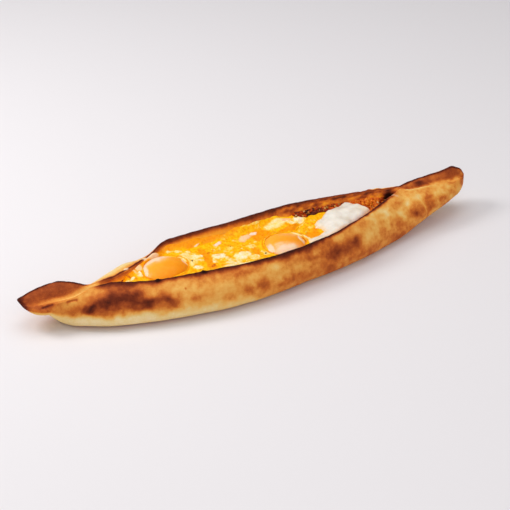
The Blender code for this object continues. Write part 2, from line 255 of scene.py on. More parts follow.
def opened(x):
    """1 where the trough is open, 0 where the walls are pinched together."""
    start, full, narrow, end = TROUGH_X
    return ease(x, start, full) * (1 - ease(x, narrow, end))


def section_corners(x):
    """Corners of the bread's section at the stations x, as an array (station, corner, (y, z))."""
    near, far, keel = curve(NEAR_SIDE, x), curve(FAR_SIDE, x), curve(KEEL, x)
    near_y, near_z = curve(NEAR_RIM_Y, x), curve(NEAR_RIM_Z, x)
    far_y, far_z = curve(FAR_RIM_Y, x), curve(FAR_RIM_Z, x)
    middle = (near + far) / 2
    near_out = outer_wall(x, near, middle, near_y, near_z, keel, NEAR_DROP, -1)
    far_out = outer_wall(x, far, middle, far_y, far_z, keel, curve(FAR_DROP, x), 1)
    width = far_y - near_y
    floor = np.maximum(keel + BASE, np.minimum(near_z, far_z) - DEPTH_TO_WIDTH * width)
    near_in = inner_wall(near_y, near_z, floor, np.minimum(NEAR_SLOPE, 0.16 * width), 1)
    far_in = inner_wall(far_y, far_z, floor, np.minimum(curve(FAR_SLOPE, x), 0.26 * width), -1)
    open_trough = [*near_in, ((near_in[-1][0] + far_in[-1][0]) / 2, floor), *far_in[::-1]]
    seam_depth = SEAM_DEPTH * (1 - 0.8 * ease(x, 172, 192))
    seam = [(near_y + across * width, near_z + rise * (far_z - near_z) - dip * seam_depth)
            for across, rise, dip in SEAM]
    share = opened(x)
    trough = [(s[0] + share * (t[0] - s[0]), s[1] + share * (t[1] - s[1])) for s, t in zip(seam, open_trough)]
    corners = [(middle, keel), *near_out, *trough, *far_out[::-1]]
    return np.array(corners).transpose(2, 0, 1)


def outline(corners, at):
    """Cubic B-spline guided by the closed corners, read at the places at, counted in corners."""
    i = np.floor(at).astype(int)
    t = (at - i)[:, None]
    weights = ((1 - t) ** 3, 3 * t ** 3 - 6 * t ** 2 + 4, 1 + 3 * t + 3 * t ** 2 - 3 * t ** 3, t ** 3)
    return sum(w * corners[:, (i + k - 1) % ALL_CORNERS] for k, w in enumerate(weights)) / 6


def with_x(x, sections):
    """Sections of (y, z) at the stations x, as points (x, y, z)."""
    return np.concatenate([np.broadcast_to(x[:, None, None], (*sections.shape[:2], 1)), sections], axis=2)


def outward(grid):
    """Unit normals of a grid of rings: the direction along the rings' line crossed with that round them."""
    along = np.gradient(grid, axis=0)
    round_it = np.roll(grid, -1, axis=1) - np.roll(grid, 1, axis=1)
    normal = np.cross(along, round_it)
    return normal / np.maximum(np.linalg.norm(normal, axis=2, keepdims=True), 1e-9)


# ---------------------------------------------------------------- meshes and materials

def linear(code, alpha=1.0):
    """Linear colour for an sRGB hex code."""
    parts = [int(code[i:i + 2], 16) / 255 for i in (1, 3, 5)]
    return (*[c / 12.92 if c <= 0.04045 else ((c + 0.055) / 1.055) ** 2.4 for c in parts], alpha)


def new_piece(name, points, faces, material, painted=None):
    """Mesh object from points in millimetres, with values painted on its points, riding on the bread."""
    mesh = bpy.data.meshes.new(name)
    mesh.vertices.add(len(points))
    mesh.vertices.foreach_set("co", np.asarray(points * MM, np.float32).ravel())
    sizes = np.concatenate([np.full(len(f), f.shape[1]) for f in faces]).astype(np.int32)
    corners = np.concatenate([np.asarray(f).ravel() for f in faces]).astype(np.int32)
    mesh.loops.add(len(corners))
    mesh.loops.foreach_set("vertex_index", corners)
    mesh.polygons.add(len(sizes))
    mesh.polygons.foreach_set("loop_start", np.concatenate([[0], np.cumsum(sizes)[:-1]]).astype(np.int32))
    mesh.polygons.foreach_set("loop_total", sizes)
    mesh.update(calc_edges=True)
    mesh.validate()
    mesh.shade_smooth()
    for key, values in (painted or {}).items():
        layer = mesh.attributes.new(key, "FLOAT", "POINT")
        layer.data.foreach_set("value", np.asarray(values, np.float32).ravel())
    mesh.materials.append(material)
    piece = bpy.data.objects.new(name, mesh)
    bpy.context.collection.objects.link(piece)
    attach(piece, "root")
    return piece


def ring_faces(count, size):
    """Quads between rings of equal size, with a fan of triangles at each end to a pole point."""
    row = np.arange(count - 1)[:, None] * size
    i = np.arange(size)
    j = (i + 1) % size
    sides = np.broadcast_arrays(row + i, row + size + i, row + size + j, row + j)
    sides = np.stack(sides, axis=-1).reshape(-1, 4)
    first, last = count * size, count * size + 1
    start = np.stack([np.full(size, first), i, j], axis=-1)
    end = np.stack([np.full(size, last), (count - 1) * size + j, (count - 1) * size + i], axis=-1)
    return [sides, start, end]


def lofted(name, rings, material, painted):
    """Closed piece from rings (ring, point, xyz), each end closed to the middle of its ring."""
    count, size = rings.shape[:2]
    points = np.vstack([rings.reshape(-1, 3), rings[0].mean(axis=0), rings[-1].mean(axis=0)])
    values = {key: np.concatenate([v.ravel(), [v[0].mean(), v[-1].mean()]]) for key, v in painted.items()}
    return new_piece(name, points, ring_faces(count, size), material, values)


def new_material(name):
    """Material with an empty node tree but for its shader and output, and that shader."""
    material = bpy.data.materials.new(name)
    material.use_nodes = True
    tree = material.node_tree
    return material, tree, tree.nodes["Principled BSDF"]


def plug(tree, node, **sockets):
    """Give sockets of a node a value or another node's output. Each is named by the socket's name with _ for
    each space, or by in0, in1 for its number."""
    for key, value in sockets.items():
        if key[:2] == "in" and key[2:].isdigit():
            socket = node.inputs[int(key[2:])]
        else:
            socket = node.inputs[key.replace("_", " ")]
        if isinstance(value, bpy.types.NodeSocket):
            tree.links.new(value, socket)
        else:
            socket.default_value = value


def add(tree, kind, settings=None, **sockets):
    """Add a node. Settings are its properties, and a ramp's stops. Sockets are as in plug."""
    node = tree.nodes.new(kind)
    for key, value in (settings or {}).items():
        if key == "stops":
            ramp = node.color_ramp
            ramp.elements.remove(ramp.elements[0])
            for k, (at, colour) in enumerate(value):
                element = ramp.elements[0] if k == 0 else ramp.elements.new(at)
                element.position = at
                element.color = linear(colour) if isinstance(colour, str) else (colour, colour, colour, 1)
        else:
            setattr(node, key, value)
    plug(tree, node, **sockets)
    return node


# ---------------------------------------------------------------- the dough

STATIONS = 458
TIP_STATIONS = 12
# Points between each two corners of the section, from the middle of the underside to that of the trough.
RING_STEPS = (4, 4, 5, 6, 12, 12, 10, 8, 8, 7, 7, 7, 7)
# How wide the ragged rims and the wrinkled dough beside them are, and how high a scorched blister rises.
RIM_WIDTH = 2.6
BESIDE_RIM = 9.0
BLISTER_RISE = 0.9
# Egg white that has run over the rim: x, y, z of the middle, half length, half width, strength.
RUN_OVER = ((-131, 7.2, 31, 2.4, 2.4, 0.8), (-110, 15.2, 31, 3.0, 2.4, 0.8), (140, 6, 36.5, 16, 1.6, 0.32))


def section_places():
    """Places round the section, in corners, where its points are: close together on the walls and rims."""
    steps = RING_STEPS + RING_STEPS[::-1]
    return np.concatenate([k + np.arange(n) / n for k, n in enumerate(steps)])


def dough_grid(at):
    """The bare boat of dough: its sections along x, the last ones drawn in to the tip's point by the cosine
    of an angle whose sine takes them out to the tip, so that both tips are round."""
    angle = np.linspace(0, np.pi / 2, TIP_STATIONS, endpoint=False)[1:]
    left = LEFT_TIP_FROM - (HALF_LENGTH + LEFT_TIP_FROM) * np.sin(angle)[::-1]
    right = RIGHT_TIP_FROM + (HALF_LENGTH - RIGHT_TIP_FROM) * np.sin(angle)
    x = np.concatenate([left, np.linspace(LEFT_TIP_FROM, RIGHT_TIP_FROM, STATIONS), right])
    size = np.concatenate([np.cos(angle)[::-1], np.ones(STATIONS), np.cos(angle)])
    tip = np.where(x[:, None] < 0, LEFT_TIP, RIGHT_TIP)
    sections = outline(section_corners(x), at)
    return with_x(x, tip[:, None] + (sections - tip[:, None]) * size[:, None, None])


def past_rims(grid, at):
    """How far each point lies past the near and past the far rim, along its section, positive in the
    trough."""
    step = np.linalg.norm(np.diff(grid, axis=1), axis=2)
    run = np.concatenate([np.zeros((len(grid), 1)), np.cumsum(step, axis=1)], axis=1)
    near, far = (run[:, [np.argmin(np.abs(at - corner))]] for corner in (NEAR_RIM, FAR_RIM))
    return run - near, far - run


def stirred(points, reach, size, seed):
    """The points moved about by up to reach, by noise of that size, so that what is drawn there is ragged."""
    return points + reach * np.stack([noise(points, size, seed + 10 * k) for k in range(3)], axis=-1)


def marks_on(points, marks):
    """Sum of marks, each full at its middle and easing to nothing at its half length and half height."""
    there = stirred(stirred(points, 1.3, 9.0, 31), 0.8, 3.4, 32)
    total = 0
    for x, y, z, long, high, darker in marks:
        away = (there - (x, y, z)) / (long, 1.2 * high, high)
        total = total + darker * (1 - ease(np.linalg.norm(away, axis=-1), 0.1, 1.25))
    return total * (1 + 0.25 * rough(points, 6.0, 33))


def ridge(points, start, end, half_width):
    """1 on the line from start to end as seen from above, and a bell curve of that half width beside it."""
    start, end = np.array(start[:2], float), np.array(end[:2], float)
    run = end - start
    share = np.clip(((points[..., :2] - start) @ run) / (run @ run), 0, 1)
    away = np.linalg.norm(points[..., :2] - start - share[..., None] * run, axis=-1)
    return np.exp(-(away / half_width) ** 2)


def dough_relief(grid, normal, over_near, over_far, scorch):
    """How far the surface stands out from the bare boat: swells, crumb and wrinkles, scorched blisters,
    ragged rims, burnt nubs and creases."""
    relief = 0.42 * noise(grid, 27.0, 1) + 0.2 * noise(grid, 11.0, 2) + 0.08 * noise(grid, 4.2, 3)
    rims, beside_rims = (np.exp(-(over_near / width) ** 2) + np.exp(-(over_far / width) ** 2)
                         for width in (RIM_WIDTH, BESIDE_RIM))
    relief = relief + 0.16 * noise(grid, (22.0, 4.0, 4.0), 4) * beside_rims
    relief = relief + rims * (0.34 * noise(grid, 5.2, 5) + 0.22 * noise(grid, 2.3, 6))
    relief = relief + BLISTER_RISE * np.clip(scorch, 0, 0.6)
    inside = ease(over_near, 1, 4) * ease(over_far, 1, 4) * opened(grid[..., 0])
    relief = relief + inside * 0.3 * noise(grid, (3.2, 7.0, 9.0), 7)
    for x, y, z, radius, height in NUBS:
        away = np.linalg.norm(stirred(grid, 0.7, 2.5, 51) - (x, y, z), axis=-1)
        relief = relief + height * np.exp(-(away / radius) ** 2)
    upper = ease(normal[..., 2], -0.3, 0.1)
    for start, end, half_width, depth, _ in CREASES:
        relief = relief - depth * upper * ridge(grid, start, end, half_width)
    return relief * ease(grid[..., 2], 0.3, 4.5)


def dough_bake_and_shade(grid, at, normal, over_near, over_far, scorch):
    """How dark each point is baked, and painted shade in its creases and in the blunt end's hollow: bands up
    the wall, mottling, marks, burnt rims and pale seams.
    """
    x, z = grid[..., 0], grid[..., 2]
    near_side = at < ALL_CORNERS / 2
    along = np.where(near_side, x, 20 - x)
    keel = curve(KEEL, x)
    rim_z = np.where(near_side, curve(NEAR_RIM_Z, x), curve(FAR_RIM_Z, x))
    mottle = rough(grid, (15.0, 11.0, 11.0), 11)
    fine = rough(grid, 4.6, 14)
    up = (z - keel) / (rim_z - keel) + 0.08 * mottle + 0.03 * fine
    foot = curve(FOOT, along)
    bake_and_shade = curve(LOW_BAKE, along)
    bake_and_shade = bake_and_shade + ease(up, foot - 0.11, foot + 0.15) * (curve(MIDDLE_BAKE, along) - bake_and_shade)
    bake_and_shade = bake_and_shade + ease(up, 0.74, 0.96) * (curve(TOP_BAKE, along) - bake_and_shade)
    cloudy = 0.13 + 0.06 * ease(along, -20, 40) + 0.03 * ease(along, 80, 110)
    speckled = 0.08 + 0.07 * ease(along, 80, 110)
    bake_and_shade = bake_and_shade + (cloudy * mottle + speckled * fine) * (0.35 + 0.65 * ease(bake_and_shade, 0.1, 0.35)) + scorch
    under = ease(-normal[..., 2], 0.75, 0.95) * ease(-z, -9.0, -2.0)
    bake_and_shade = bake_and_shade + under * (0.36 + 0.16 * mottle - bake_and_shade)

    # The folded flat shoulder beyond the far rim at the narrow end is pale.
    beyond = -over_far
    flap = ease(x, -172, -162) * (1 - ease(x, -122, -112)) * ease(beyond, 1.5, 3) * (1 - ease(beyond, 20, 28))
    bake_and_shade = bake_and_shade + flap * (0.34 - 0.2 * ease(beyond, 2, 10) + 0.14 * mottle - bake_and_shade)

    # Inside the trough the far wall is dark under its rim and lighter further down.
    is_open = opened(x)
    deep = np.minimum(over_near, over_far)
    streaks = rough(grid, (9.0, 3.2, 3.2), 17)
    floor_bake = 0.16 + 0.32 * ease(x, -50, 20)
    inside = 0.66 - (0.66 - floor_bake) * ease(deep + 1.6 * streaks, 1.0, 8.5) + 0.08 * fine
    inside = inside + (0.12 + 0.26 * ease(x, 10, 60)) * streaks
    inside = inside + 0.16 * ease(x, 10, 60) * rough(grid, (5.0, 2.0, 2.0), 20)
    # Painted shade: deep in the trough near the blunt end the inside is darkened, for the dark hollow there.
    inside = inside + 0.5 * ease(x, 133, 141) * ease(deep, 3.0, 7.0)
    bake_and_shade = bake_and_shade + is_open * ease(deep, 0.5, 2.5) * (inside - bake_and_shade)

    # The crests of the pinched ends are brown on the side that faces the near wall. Below them lie a pale
    # seam and, at the narrow end, a thin paler line where the dough was pressed shut.
    shut = 1 - is_open
    left = 1 - ease(x, -170, -160)
    right = ease(x, 150, 158)
    crest = shut * ease(over_near, 6 - 3 * right, 10 - 3 * right) * ease(over_far, -1, 1)
    bake_and_shade = bake_and_shade + crest * left * (0.67 + 0.08 * mottle + 0.04 * fine - bake_and_shade)
    bake_and_shade = bake_and_shade + crest * right * (0.57 + 0.2 * mottle + 0.05 * fine + scorch - bake_and_shade)
    pale_left = np.exp(-((over_near - 3.0) / 4.5) ** 2) * left * ease(x, -212, -196)
    pale_right = np.exp(-((over_near - 0.6) / 1.9) ** 2) * right * (1 - ease(x, 176, 192))
    bake_and_shade = bake_and_shade + shut * (pale_left * (0.45 - bake_and_shade) + pale_right * (0.2 - bake_and_shade))
    pale_line = np.exp(-((over_near - 4.2 - 0.8 * fine) / 1.5) ** 2) * left * ease(x, -206, -192)
    bake_and_shade = bake_and_shade + 0.75 * shut * pale_line * (0.2 - bake_and_shade)

    # Burnt rims, wider and narrower along the bread.
    reach = 1 + 0.35 * noise(grid * (1, 0, 0), 13.0, 18) + 0.2 * noise(grid * (1, 0, 0), 4.0, 19)
    near_reach = curve(NEAR_BAND, x) * reach
    outside_near = np.where(over_near < 0, -over_near / near_reach, over_near / 2.2)
    near_band = np.exp(-np.abs(outside_near) ** 2.3)
    near_band = near_band * ease(x, -172, -158) * (1 - ease(x, 126, 150))
    far_reach = (1.3 + 1.9 * ease(x, -112, -88) - 1.2 * ease(x, 45, 75)) * reach
    far_band = np.exp(-np.abs(over_far / far_reach) ** 2.2)
    far_here = 0.45 + 0.5 * ease(x, -158, -150) - 0.25 * ease(x, 60, 110)
    far_here = far_here * (1 - ease(x, -175, -168) * (1 - ease(x, -166, -158)))
    crest_line = np.exp(-np.abs(over_far / (1.5 * reach)) ** 2)
    crest_line = crest_line * (left * (1 - ease(x, -176, -169)) + 0.7 * right)
    near_line = np.exp(-(over_near / 1.3) ** 2) * near_band
    burnt = 0.82 + 0.08 * ease(x, -70, -40) * (1 - ease(x, 40, 70)) + 0.07 * fine
    bake_and_shade = bake_and_shade + near_band * np.maximum(burnt - bake_and_shade, 0) + 0.08 * near_line
    bake_and_shade = bake_and_shade + far_band * far_here * np.maximum(0.88 - bake_and_shade, 0)
    bake_and_shade = bake_and_shade + crest_line * np.maximum(0.92 - bake_and_shade, 0)

    # Beyond the far rim, where the trough narrows at the blunt end, the lip is torn and its crumb shows pale.
    torn_lip = ease(x, 122, 130) * (1 - ease(x, 152, 160))
    torn_lip = torn_lip * ease(beyond, -0.4, 0.8) * (1 - ease(beyond, 5, 9))
    bake_and_shade = bake_and_shade + torn_lip * (0.26 + 0.14 * mottle + 0.1 * fine - bake_and_shade)

    # Both tips are burnt.
    end = ease(-x, 222.5, 227.5) + 0.7 * ease(x, 212, 222) * ease(z, 38.5, 41.5) + 0.3 * ease(x, 224, 229)
    bake_and_shade = bake_and_shade + end * np.maximum(0.86 + 0.08 * mottle - bake_and_shade, 0)
    upper = ease(normal[..., 2], -0.3, 0.1)
    # Painted shade: each crease's groove is darkened along its line, and each ridge is made paler.
    for start, stop, half_width, _, darker in CREASES:
        bake_and_shade = bake_and_shade + darker * upper * ridge(grid, start, stop, 1.15 * half_width)
    for nx, ny, nz, radius, _ in NUBS[:2]:
        bake_and_shade = bake_and_shade + 0.5 * np.exp(-(np.linalg.norm(grid - (nx, ny, nz), axis=-1) / (1.2 * radius)) ** 2)
    return np.clip(bake_and_shade, 0, 1)


def baked_dough_material():
    """Oven-baked bread dough, flour side out: matt and gold where lightly baked, leathery brown where
    scorched, and soaked orange and glossier where the egg and the meat's fat have wetted it."""
    material, tree, shader = new_material("baked_dough")
    place = add(tree, "ShaderNodeTexCoord").outputs["Object"]
    # The first attribute holds the baking, and painted shade in the creases and in the blunt end's hollow.
    bake_and_shade, oil, film = (add(tree, "ShaderNodeAttribute", {"attribute_name": key}).outputs["Fac"]
                       for key in ("bake_and_shade", "oil", "film"))
    # Mottling of 3 mm and pores of 0.8 mm, as the skin of a yeast dough has.
    mottle = add(tree, "ShaderNodeTexNoise", Vector=place, Scale=1 / 0.003, Detail=4.0, Roughness=0.6)
    pores = add(tree, "ShaderNodeTexNoise", Vector=place, Scale=1 / 0.0008, Detail=3.0, Roughness=0.6)
    shift = add(tree, "ShaderNodeMath", {"operation": "MULTIPLY_ADD"}, in0=mottle.outputs["Fac"], in1=0.2,
                in2=-0.1)
    shift = add(tree, "ShaderNodeMath", {"operation": "MULTIPLY_ADD"}, in0=pores.outputs["Fac"], in1=0.13,
                in2=shift.outputs[0])
    level = add(tree, "ShaderNodeMath", {"operation": "ADD"}, in0=bake_and_shade, in1=shift.outputs[0])
    level = add(tree, "ShaderNodeMath", {"operation": "SUBTRACT"}, in0=level.outputs[0], in1=0.065)
    dry = add(tree, "ShaderNodeValToRGB", {"stops": (
        (0.0, "#F2DCAC"), (0.14, "#EBC983"), (0.28, "#EBB258"), (0.40, "#E2943A"), (0.52, "#C96A20"),
        (0.64, "#A14817"), (0.76, "#742D13"), (0.88, "#4A1B10"), (1.0, "#260F0B"))}, Fac=level.outputs[0])
    wet = add(tree, "ShaderNodeValToRGB", {"stops": (
        (0.0, "#FFC040"), (0.25, "#FBA61E"), (0.4, "#EA8812"), (0.52, "#CF6A12"), (0.64, "#A84A12"),
        (0.76, "#743013"), (0.9, "#43190F"), (1.0, "#26100C"))}, Fac=level.outputs[0])
    colour = add(tree, "ShaderNodeMix", {"data_type": "RGBA"}, in0=oil, in6=dry.outputs["Color"],
                 in7=wet.outputs["Color"])
    colour = add(tree, "ShaderNodeMix", {"data_type": "RGBA"}, in0=film, in6=colour.outputs[2],
                 in7=linear("#F8DDB6"))
    dull = add(tree, "ShaderNodeMapRange", Value=level.outputs[0], in1=0.0, in2=1.0, in3=0.58, in4=0.62)
    wetness = add(tree, "ShaderNodeMath", {"operation": "MAXIMUM"}, in0=oil, in1=film)
    gloss = add(tree, "ShaderNodeMix", in0=wetness.outputs[0], in2=dull.outputs[0], in3=0.34)
    height = add(tree, "ShaderNodeMath", {"operation": "MULTIPLY_ADD"}, in0=mottle.outputs["Fac"], in1=1.5,
                 in2=pores.outputs["Fac"])
    bump = add(tree, "ShaderNodeBump", Height=height.outputs[0], Strength=0.35, Distance=0.0004)
    sheen = add(tree, "ShaderNodeMapRange", Value=level.outputs[0], in1=0.45, in2=0.8, in3=0.25, in4=0.08)
    plug(tree, shader, Base_Color=colour.outputs[2], Roughness=gloss.outputs[0],
         Normal=bump.outputs["Normal"], IOR=1.45, Specular_IOR_Level=sheen.outputs[0],
         Subsurface_Weight=0.06, Subsurface_Radius=(1.0, 0.5, 0.25), Subsurface_Scale=0.003)
    return material


def make_dough():
    """The baked boat, with its relief, and with its baking and some painted shade, its fat-soaked inside and
    its egg stains painted on."""
    at = section_places()
    grid = dough_grid(at)
    normal = outward(grid)
    over_near, over_far = past_rims(grid, at)
    scorch = marks_on(grid, MARKS)
    relief = dough_relief(grid, normal, over_near, over_far, scorch)
    surface = grid + relief[..., None] * normal
    surface[..., 2] = np.maximum(surface[..., 2], 0)
    bake_and_shade = dough_bake_and_shade(grid, at, normal, over_near, over_far, scorch)
    oil = opened(grid[..., 0]) * ease(np.minimum(over_near, over_far) + 0.8 * noise(grid, 5.0, 41), 0.4, 2.6)
    film = 0
    there = stirred(grid, 1.6, 4.0, 61)
    for x, y, z, long, wide, strength in RUN_OVER:
        away = np.linalg.norm((there - (x, y, z)) / (long, wide, wide), axis=-1)
        film = np.maximum(film, strength * (1 - ease(away, 0.5, 1.1)))
    painted = {"bake_and_shade": bake_and_shade, "oil": oil, "film": film}
    piece = lofted("baked_crust", surface, baked_dough_material(), painted)
    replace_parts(piece, "crust")
    return surface


# ---------------------------------------------------------------- the filling

# Places round the section, in corners, from the near rim's inside to the far rim's, and how far the filling
# reaches into the walls.
TROUGH_PLACES = np.linspace(9, 17, 161)
INTO_WALL = 1.6
MEAT_UNDER_EGG = 22.0
MEAT_SHOWING = 27.0
EGG_TOP = 27.5
EGG_ENDS = (node_box("egg_layer")[0][0], node_box("egg_layer")[1][0])
MEAT_ENDS = (node_box("minced_meat")[0][0], node_box("minced_meat")[1][0])
YOLK_SINK = 3.5
# Share of its outline that a yolk fills.
YOLK_FILL = 0.99
# How light the meat is along the bread, from 0, near black, to 1, orange.
# Its fall to near black at the blunt end is painted shade in the hollow there.
MEAT_TONE_AND_SHADE = ((-145, 0.35), (40, 0.3), (50, 0.3), (60, 0.22), (78, 0.3), (90, 0.4), (102, 0.55), (126, 0.58),
             (134, 0.4), (140, 0.0))
YOLK_NODES = ("yolk_left", "yolk_right")
# How each yolk has settled in its seat: moved along and across, spread along and across, and sunk to a share
# of its height.
YOLK_SETTLED = {"yolk_left": (0.2, 1.4, 1.04, 1.12, 0.88), "yolk_right": (0.0, -0.8, 1.05, 1.05, 0.86)}
# How far from a wall what clings to it starts to rise.
WALL_FILM = 6.5

# Patches on the egg: x, y of the middle, half length, half width, turn in degrees, strength.
# The patch at x -121.2, beside the left yolk, is a painted highlight; the rest are cream.
CREAM_AND_GLINT = ((44, 19.5, 11, 6.5, 5, 0.76), (-73, 2, 10, 15, 0, 0.7), (-69.5, 13, 5, 3, -10, 0.75),
         (-64, 1, 4, 2.6, -20, 0.75), (-65, -6, 3.5, 2.6, -20, 0.75), (-71, -15, 6, 4, -20, 0.8),
         (-78, 17, 5, 2.6, -10, 0.65), (-85, 18, 4, 2.2, -5, 0.6), (-73, -5, 2.5, 2, 0, 0.7),
         (-76, 9, 3, 2, 0, 0.7), (-46.5, -6, 7.5, 5.5, 0, 1.0), (-41, -14, 3.2, 6, 0, 0.85),
         (-53, -12, 2, 5, 0, 0.8), (-40, -21, 10, 6, -10, 0.75), (-28, -15, 9, 8, 0, 0.95),
         (-20, -22, 7, 6, 0, 0.75), (-38, -27, 19, 3, -6, 0.8), (-14, -5, 6, 5, 0, 0.6),
         (-33, 0, 6, 4, 30, 0.5), (-42, 5, 4, 2.5, 40, 0.45), (-22, 12, 4, 3, 20, 0.45),
         (-30, 20, 5, 2.5, 20, 0.4), (2, 27, 13, 1.8, 10, 0.5), (-139, -5, 12, 2.6, -20, 0.8),
         (-129, -6.5, 4, 2.5, 0, 0.75), (-125, 3, 2, 8, 15, 0.4), (-121.2, -3, 2.4, 4.5, 0, 1.2),
         (34, -9, 13, 1.8, -59, 0.8), (38, -12, 10, 1.6, -59, 0.8), (46, 11, 8, 1.6, 32, 0.6),
         (-8, -18, 3, 6, 0, 0.7), (58, 12, 4, 2.4, 0, 0.5), (4, 2.5, 8, 1.4, 22, 0.55),
         (50, 3, 4, 3, 0, 0.45))
# The smooth pool of thick cream cheese beside the far wall.
CREAM_POOL = ((24, 21, 18, 7.5, 12, 0.76), (35, 22.5, 8, 4, 5, 0.95))
# Peach spots where a skin of white lies thinly on yolk.
BLUSH = ((-106, 15, 11, 5, 8, 0.85), (-120, 7, 3.4, 8, 12, 0.75), (-108, 16.5, 4, 2.5, 20, 0.6),
         (-39, 13, 6, 2.2, 25, 1.0), (-57, 20.5, 4.6, 1.6, 10, 0.9), (-12, 12.5, 8.5, 5.5, 25, 0.82),
         (-2, 16.5, 6, 2.6, 25, 1.0), (-124, 1, 2.4, 8, 15, 0.55), (37, 23, 6, 2.6, 0, 0.75),
         (-47, -5, 2.5, 2, 0, 0.5))
# Deep orange pools of runny yolk.
DEEP = ((-57, -4, 6, 24, -4, 0.95), (-60, 24, 22, 5, 4, 0.6), (-25, 27, 26, 5, 3, 0.5),
        (-89, 25, 9, 5, 35, 0.8), (3, 11, 13, 13, 12, 1.0), (30, 9, 16, 4.0, 20, 1.0),
        (47, -10, 10, 5, 5, 1.0), (-133, 4, 10, 9, 20, 0.8), (-12, -12, 5, 6, 0, 0.7),
        (-42, 20, 12, 3, 0, 0.5), (-112, -12, 8, 6, 0, 0.8), (52, -3, 5, 4, 0, 0.6))
# Rusty spots and lines where the egg touches meat.
RUST = ((-57, -17, 2.2, 3, 10, 0.6), (-53, 2.4, 2.4, 3, 20, 0.5), (-44, 3, 1.4, 1.4, 0, 0.4),
        (34, -15, 6, 1.1, -80, 0.6), (4, -21, 1.2, 1.2, 0, 0.4), (-132, 0, 1.6, 7, 20, 0.6),
        (-144, 2, 5, 9, 0, 0.6), (108, 18, 12, 14, 0, 1.0), (37, 6, 9, 0.9, 32, 0.55),
        (49, 15, 6, 0.9, 55, 0.4))
# How deep the set white dives under the egg round its edge, and how deep its underside lies.
WHITE_DIVE = 4.0
WHITE_UNDER = 5.0
# The set white's edge, seen from above.
WHITE_EDGE = ((36, -24), (62, -22), (82, -16), (100, -8), (114, 1), (113, 8), (108.5, 15.5), (98, 25.5),
              (88, 20.5), (75, 18), (65, 11), (55.5, 4.5), (53, -1), (57.5, -5.5), (57, -11.5), (47, -15.5),
              (38, -16.5))


def where_it_meets(wall, level):
    """y at which each station's wall, read from its rim down, first comes below its level."""
    below = wall[..., 1] < level[:, None]
    i = np.maximum(np.argmax(below, axis=1), 1)
    row = np.arange(len(wall))
    upper, lower = wall[row, i - 1], wall[row, i]
    share = np.clip((upper[:, 1] - level) / (upper[:, 1] - lower[:, 1]), 0, 1)
    return upper[:, 0] + share * (lower[:, 0] - upper[:, 0])


def trough_sides(x, near_level, far_level):
    """y of the near and of the far wall's inside at the stations x, each at a level that may vary along x."""
    inside = outline(section_corners(x), TROUGH_PLACES)
    near_level, far_level = (np.broadcast_to(level, x.shape) for level in (near_level, far_level))
    return where_it_meets(inside, near_level), where_it_meets(inside[:, ::-1], far_level)


def egg_climb(x):
    """How far the egg reaches up the far wall above its own level: most along the yellow half."""
    return 0.8 + 3.0 * ease(x, -112, -92) * (1 - ease(x, 24, 44))


def meat_climb(x):
    """How far the minced meat clings to the far wall above its own level."""
    return 1.4 * ease(x, 38, 50) * (1 - ease(x, 128, 142))


def patches(flat, places, ragged=1.5, size=6.0, soft=(0.55, 1.15)):
    """Strength of the strongest patch at each point: full inside, easing to nothing over its turned oval
    edge."""
    there = stirred(stirred(flat, ragged, size, 71), 0.5 * ragged, 0.4 * size, 72)
    total = np.zeros(flat.shape[:-1])
    for x, y, long, wide, turn, strength in places:
        cos, sin = np.cos(np.radians(turn)), np.sin(np.radians(turn))
        dx, dy = there[..., 0] - x, there[..., 1] - y
        away = np.hypot((dx * cos + dy * sin) / long, (dy * cos - dx * sin) / wide)
        total = np.maximum(total, strength * (1 - ease(away, *soft)))
    return total


def strands(flat, turn, length, width, seed):
    """Noise drawn out along a direction: the plane is turned and then read at unequal sizes."""
    cos, sin = np.cos(np.radians(turn)), np.sin(np.radians(turn))
    x, y = flat[..., 0], flat[..., 1]
    turned = np.stack([x * cos + y * sin, y * cos - x * sin, np.zeros_like(x)], axis=-1)
    return rough(turned, (length, width, 1.0), seed)


def flat_points(x, y):
    """Points (x, y, 0)."""
    return np.stack([x, y, np.zeros_like(x)], axis=-1)


def yolk_shape(node):
    """Middle and half sizes of a yolk, and its height above its widest ring, from its node and its
    settling."""
    low, high = node_box(node)
    along, across, longer, wider, sunk = YOLK_SETTLED[node]
    middle = (low + high) / 2 + (along, across, 0)
    middle[2] = low[2] + YOLK_SINK
    return middle, (high - low)[:2] / 2 * (longer, wider), sunk * (high[2] - middle[2])


def yolk_reach(x, y, node):
    """Distance from the yolk's middle as a share of its outline: below 1 inside."""
    middle, half, _ = yolk_shape(node)
    return np.hypot((x - middle[0]) / half[0], (y - middle[1]) / half[1])


def edge_depth(x, y, edge):
    """How far each point lies inside the closed edge: the distance to its nearest side, negative outside."""
    nearest = np.full(x.shape, 1e9)
    inside = np.zeros(x.shape, bool)
    for (ax, ay), (bx, by) in zip(edge, edge[1:] + edge[:1]):
        dx, dy = bx - ax, by - ay
        share = np.clip(((x - ax) * dx + (y - ay) * dy) / (dx * dx + dy * dy), 0, 1)
        nearest = np.minimum(nearest, np.hypot(x - ax - share * dx, y - ay - share * dy))
        crosses = ((ay > y) != (by > y)) & (x < dx * (y - ay) / (dy if dy else 1e-9) + ax)
        inside ^= crosses
    return np.where(inside, nearest, -nearest)


def meat_top(x, y):
    """Height of the minced meat's upper side: level under the egg, rough and higher where it shows."""
    showing = ease(x, EGG_ENDS[1] - 14, EGG_ENDS[1] + 6)
    level = MEAT_UNDER_EGG + showing * (MEAT_SHOWING - MEAT_UNDER_EGG)
    return level + (0.3 + 1.1 * showing) * waves(x, y, 23.0)


def up_the_wall(gap, height):
    """Rise of what clings to a wall: full at the wall and falling away evenly over the film's width."""
    return height * np.clip(1 - gap / WALL_FILM, 0, 1)


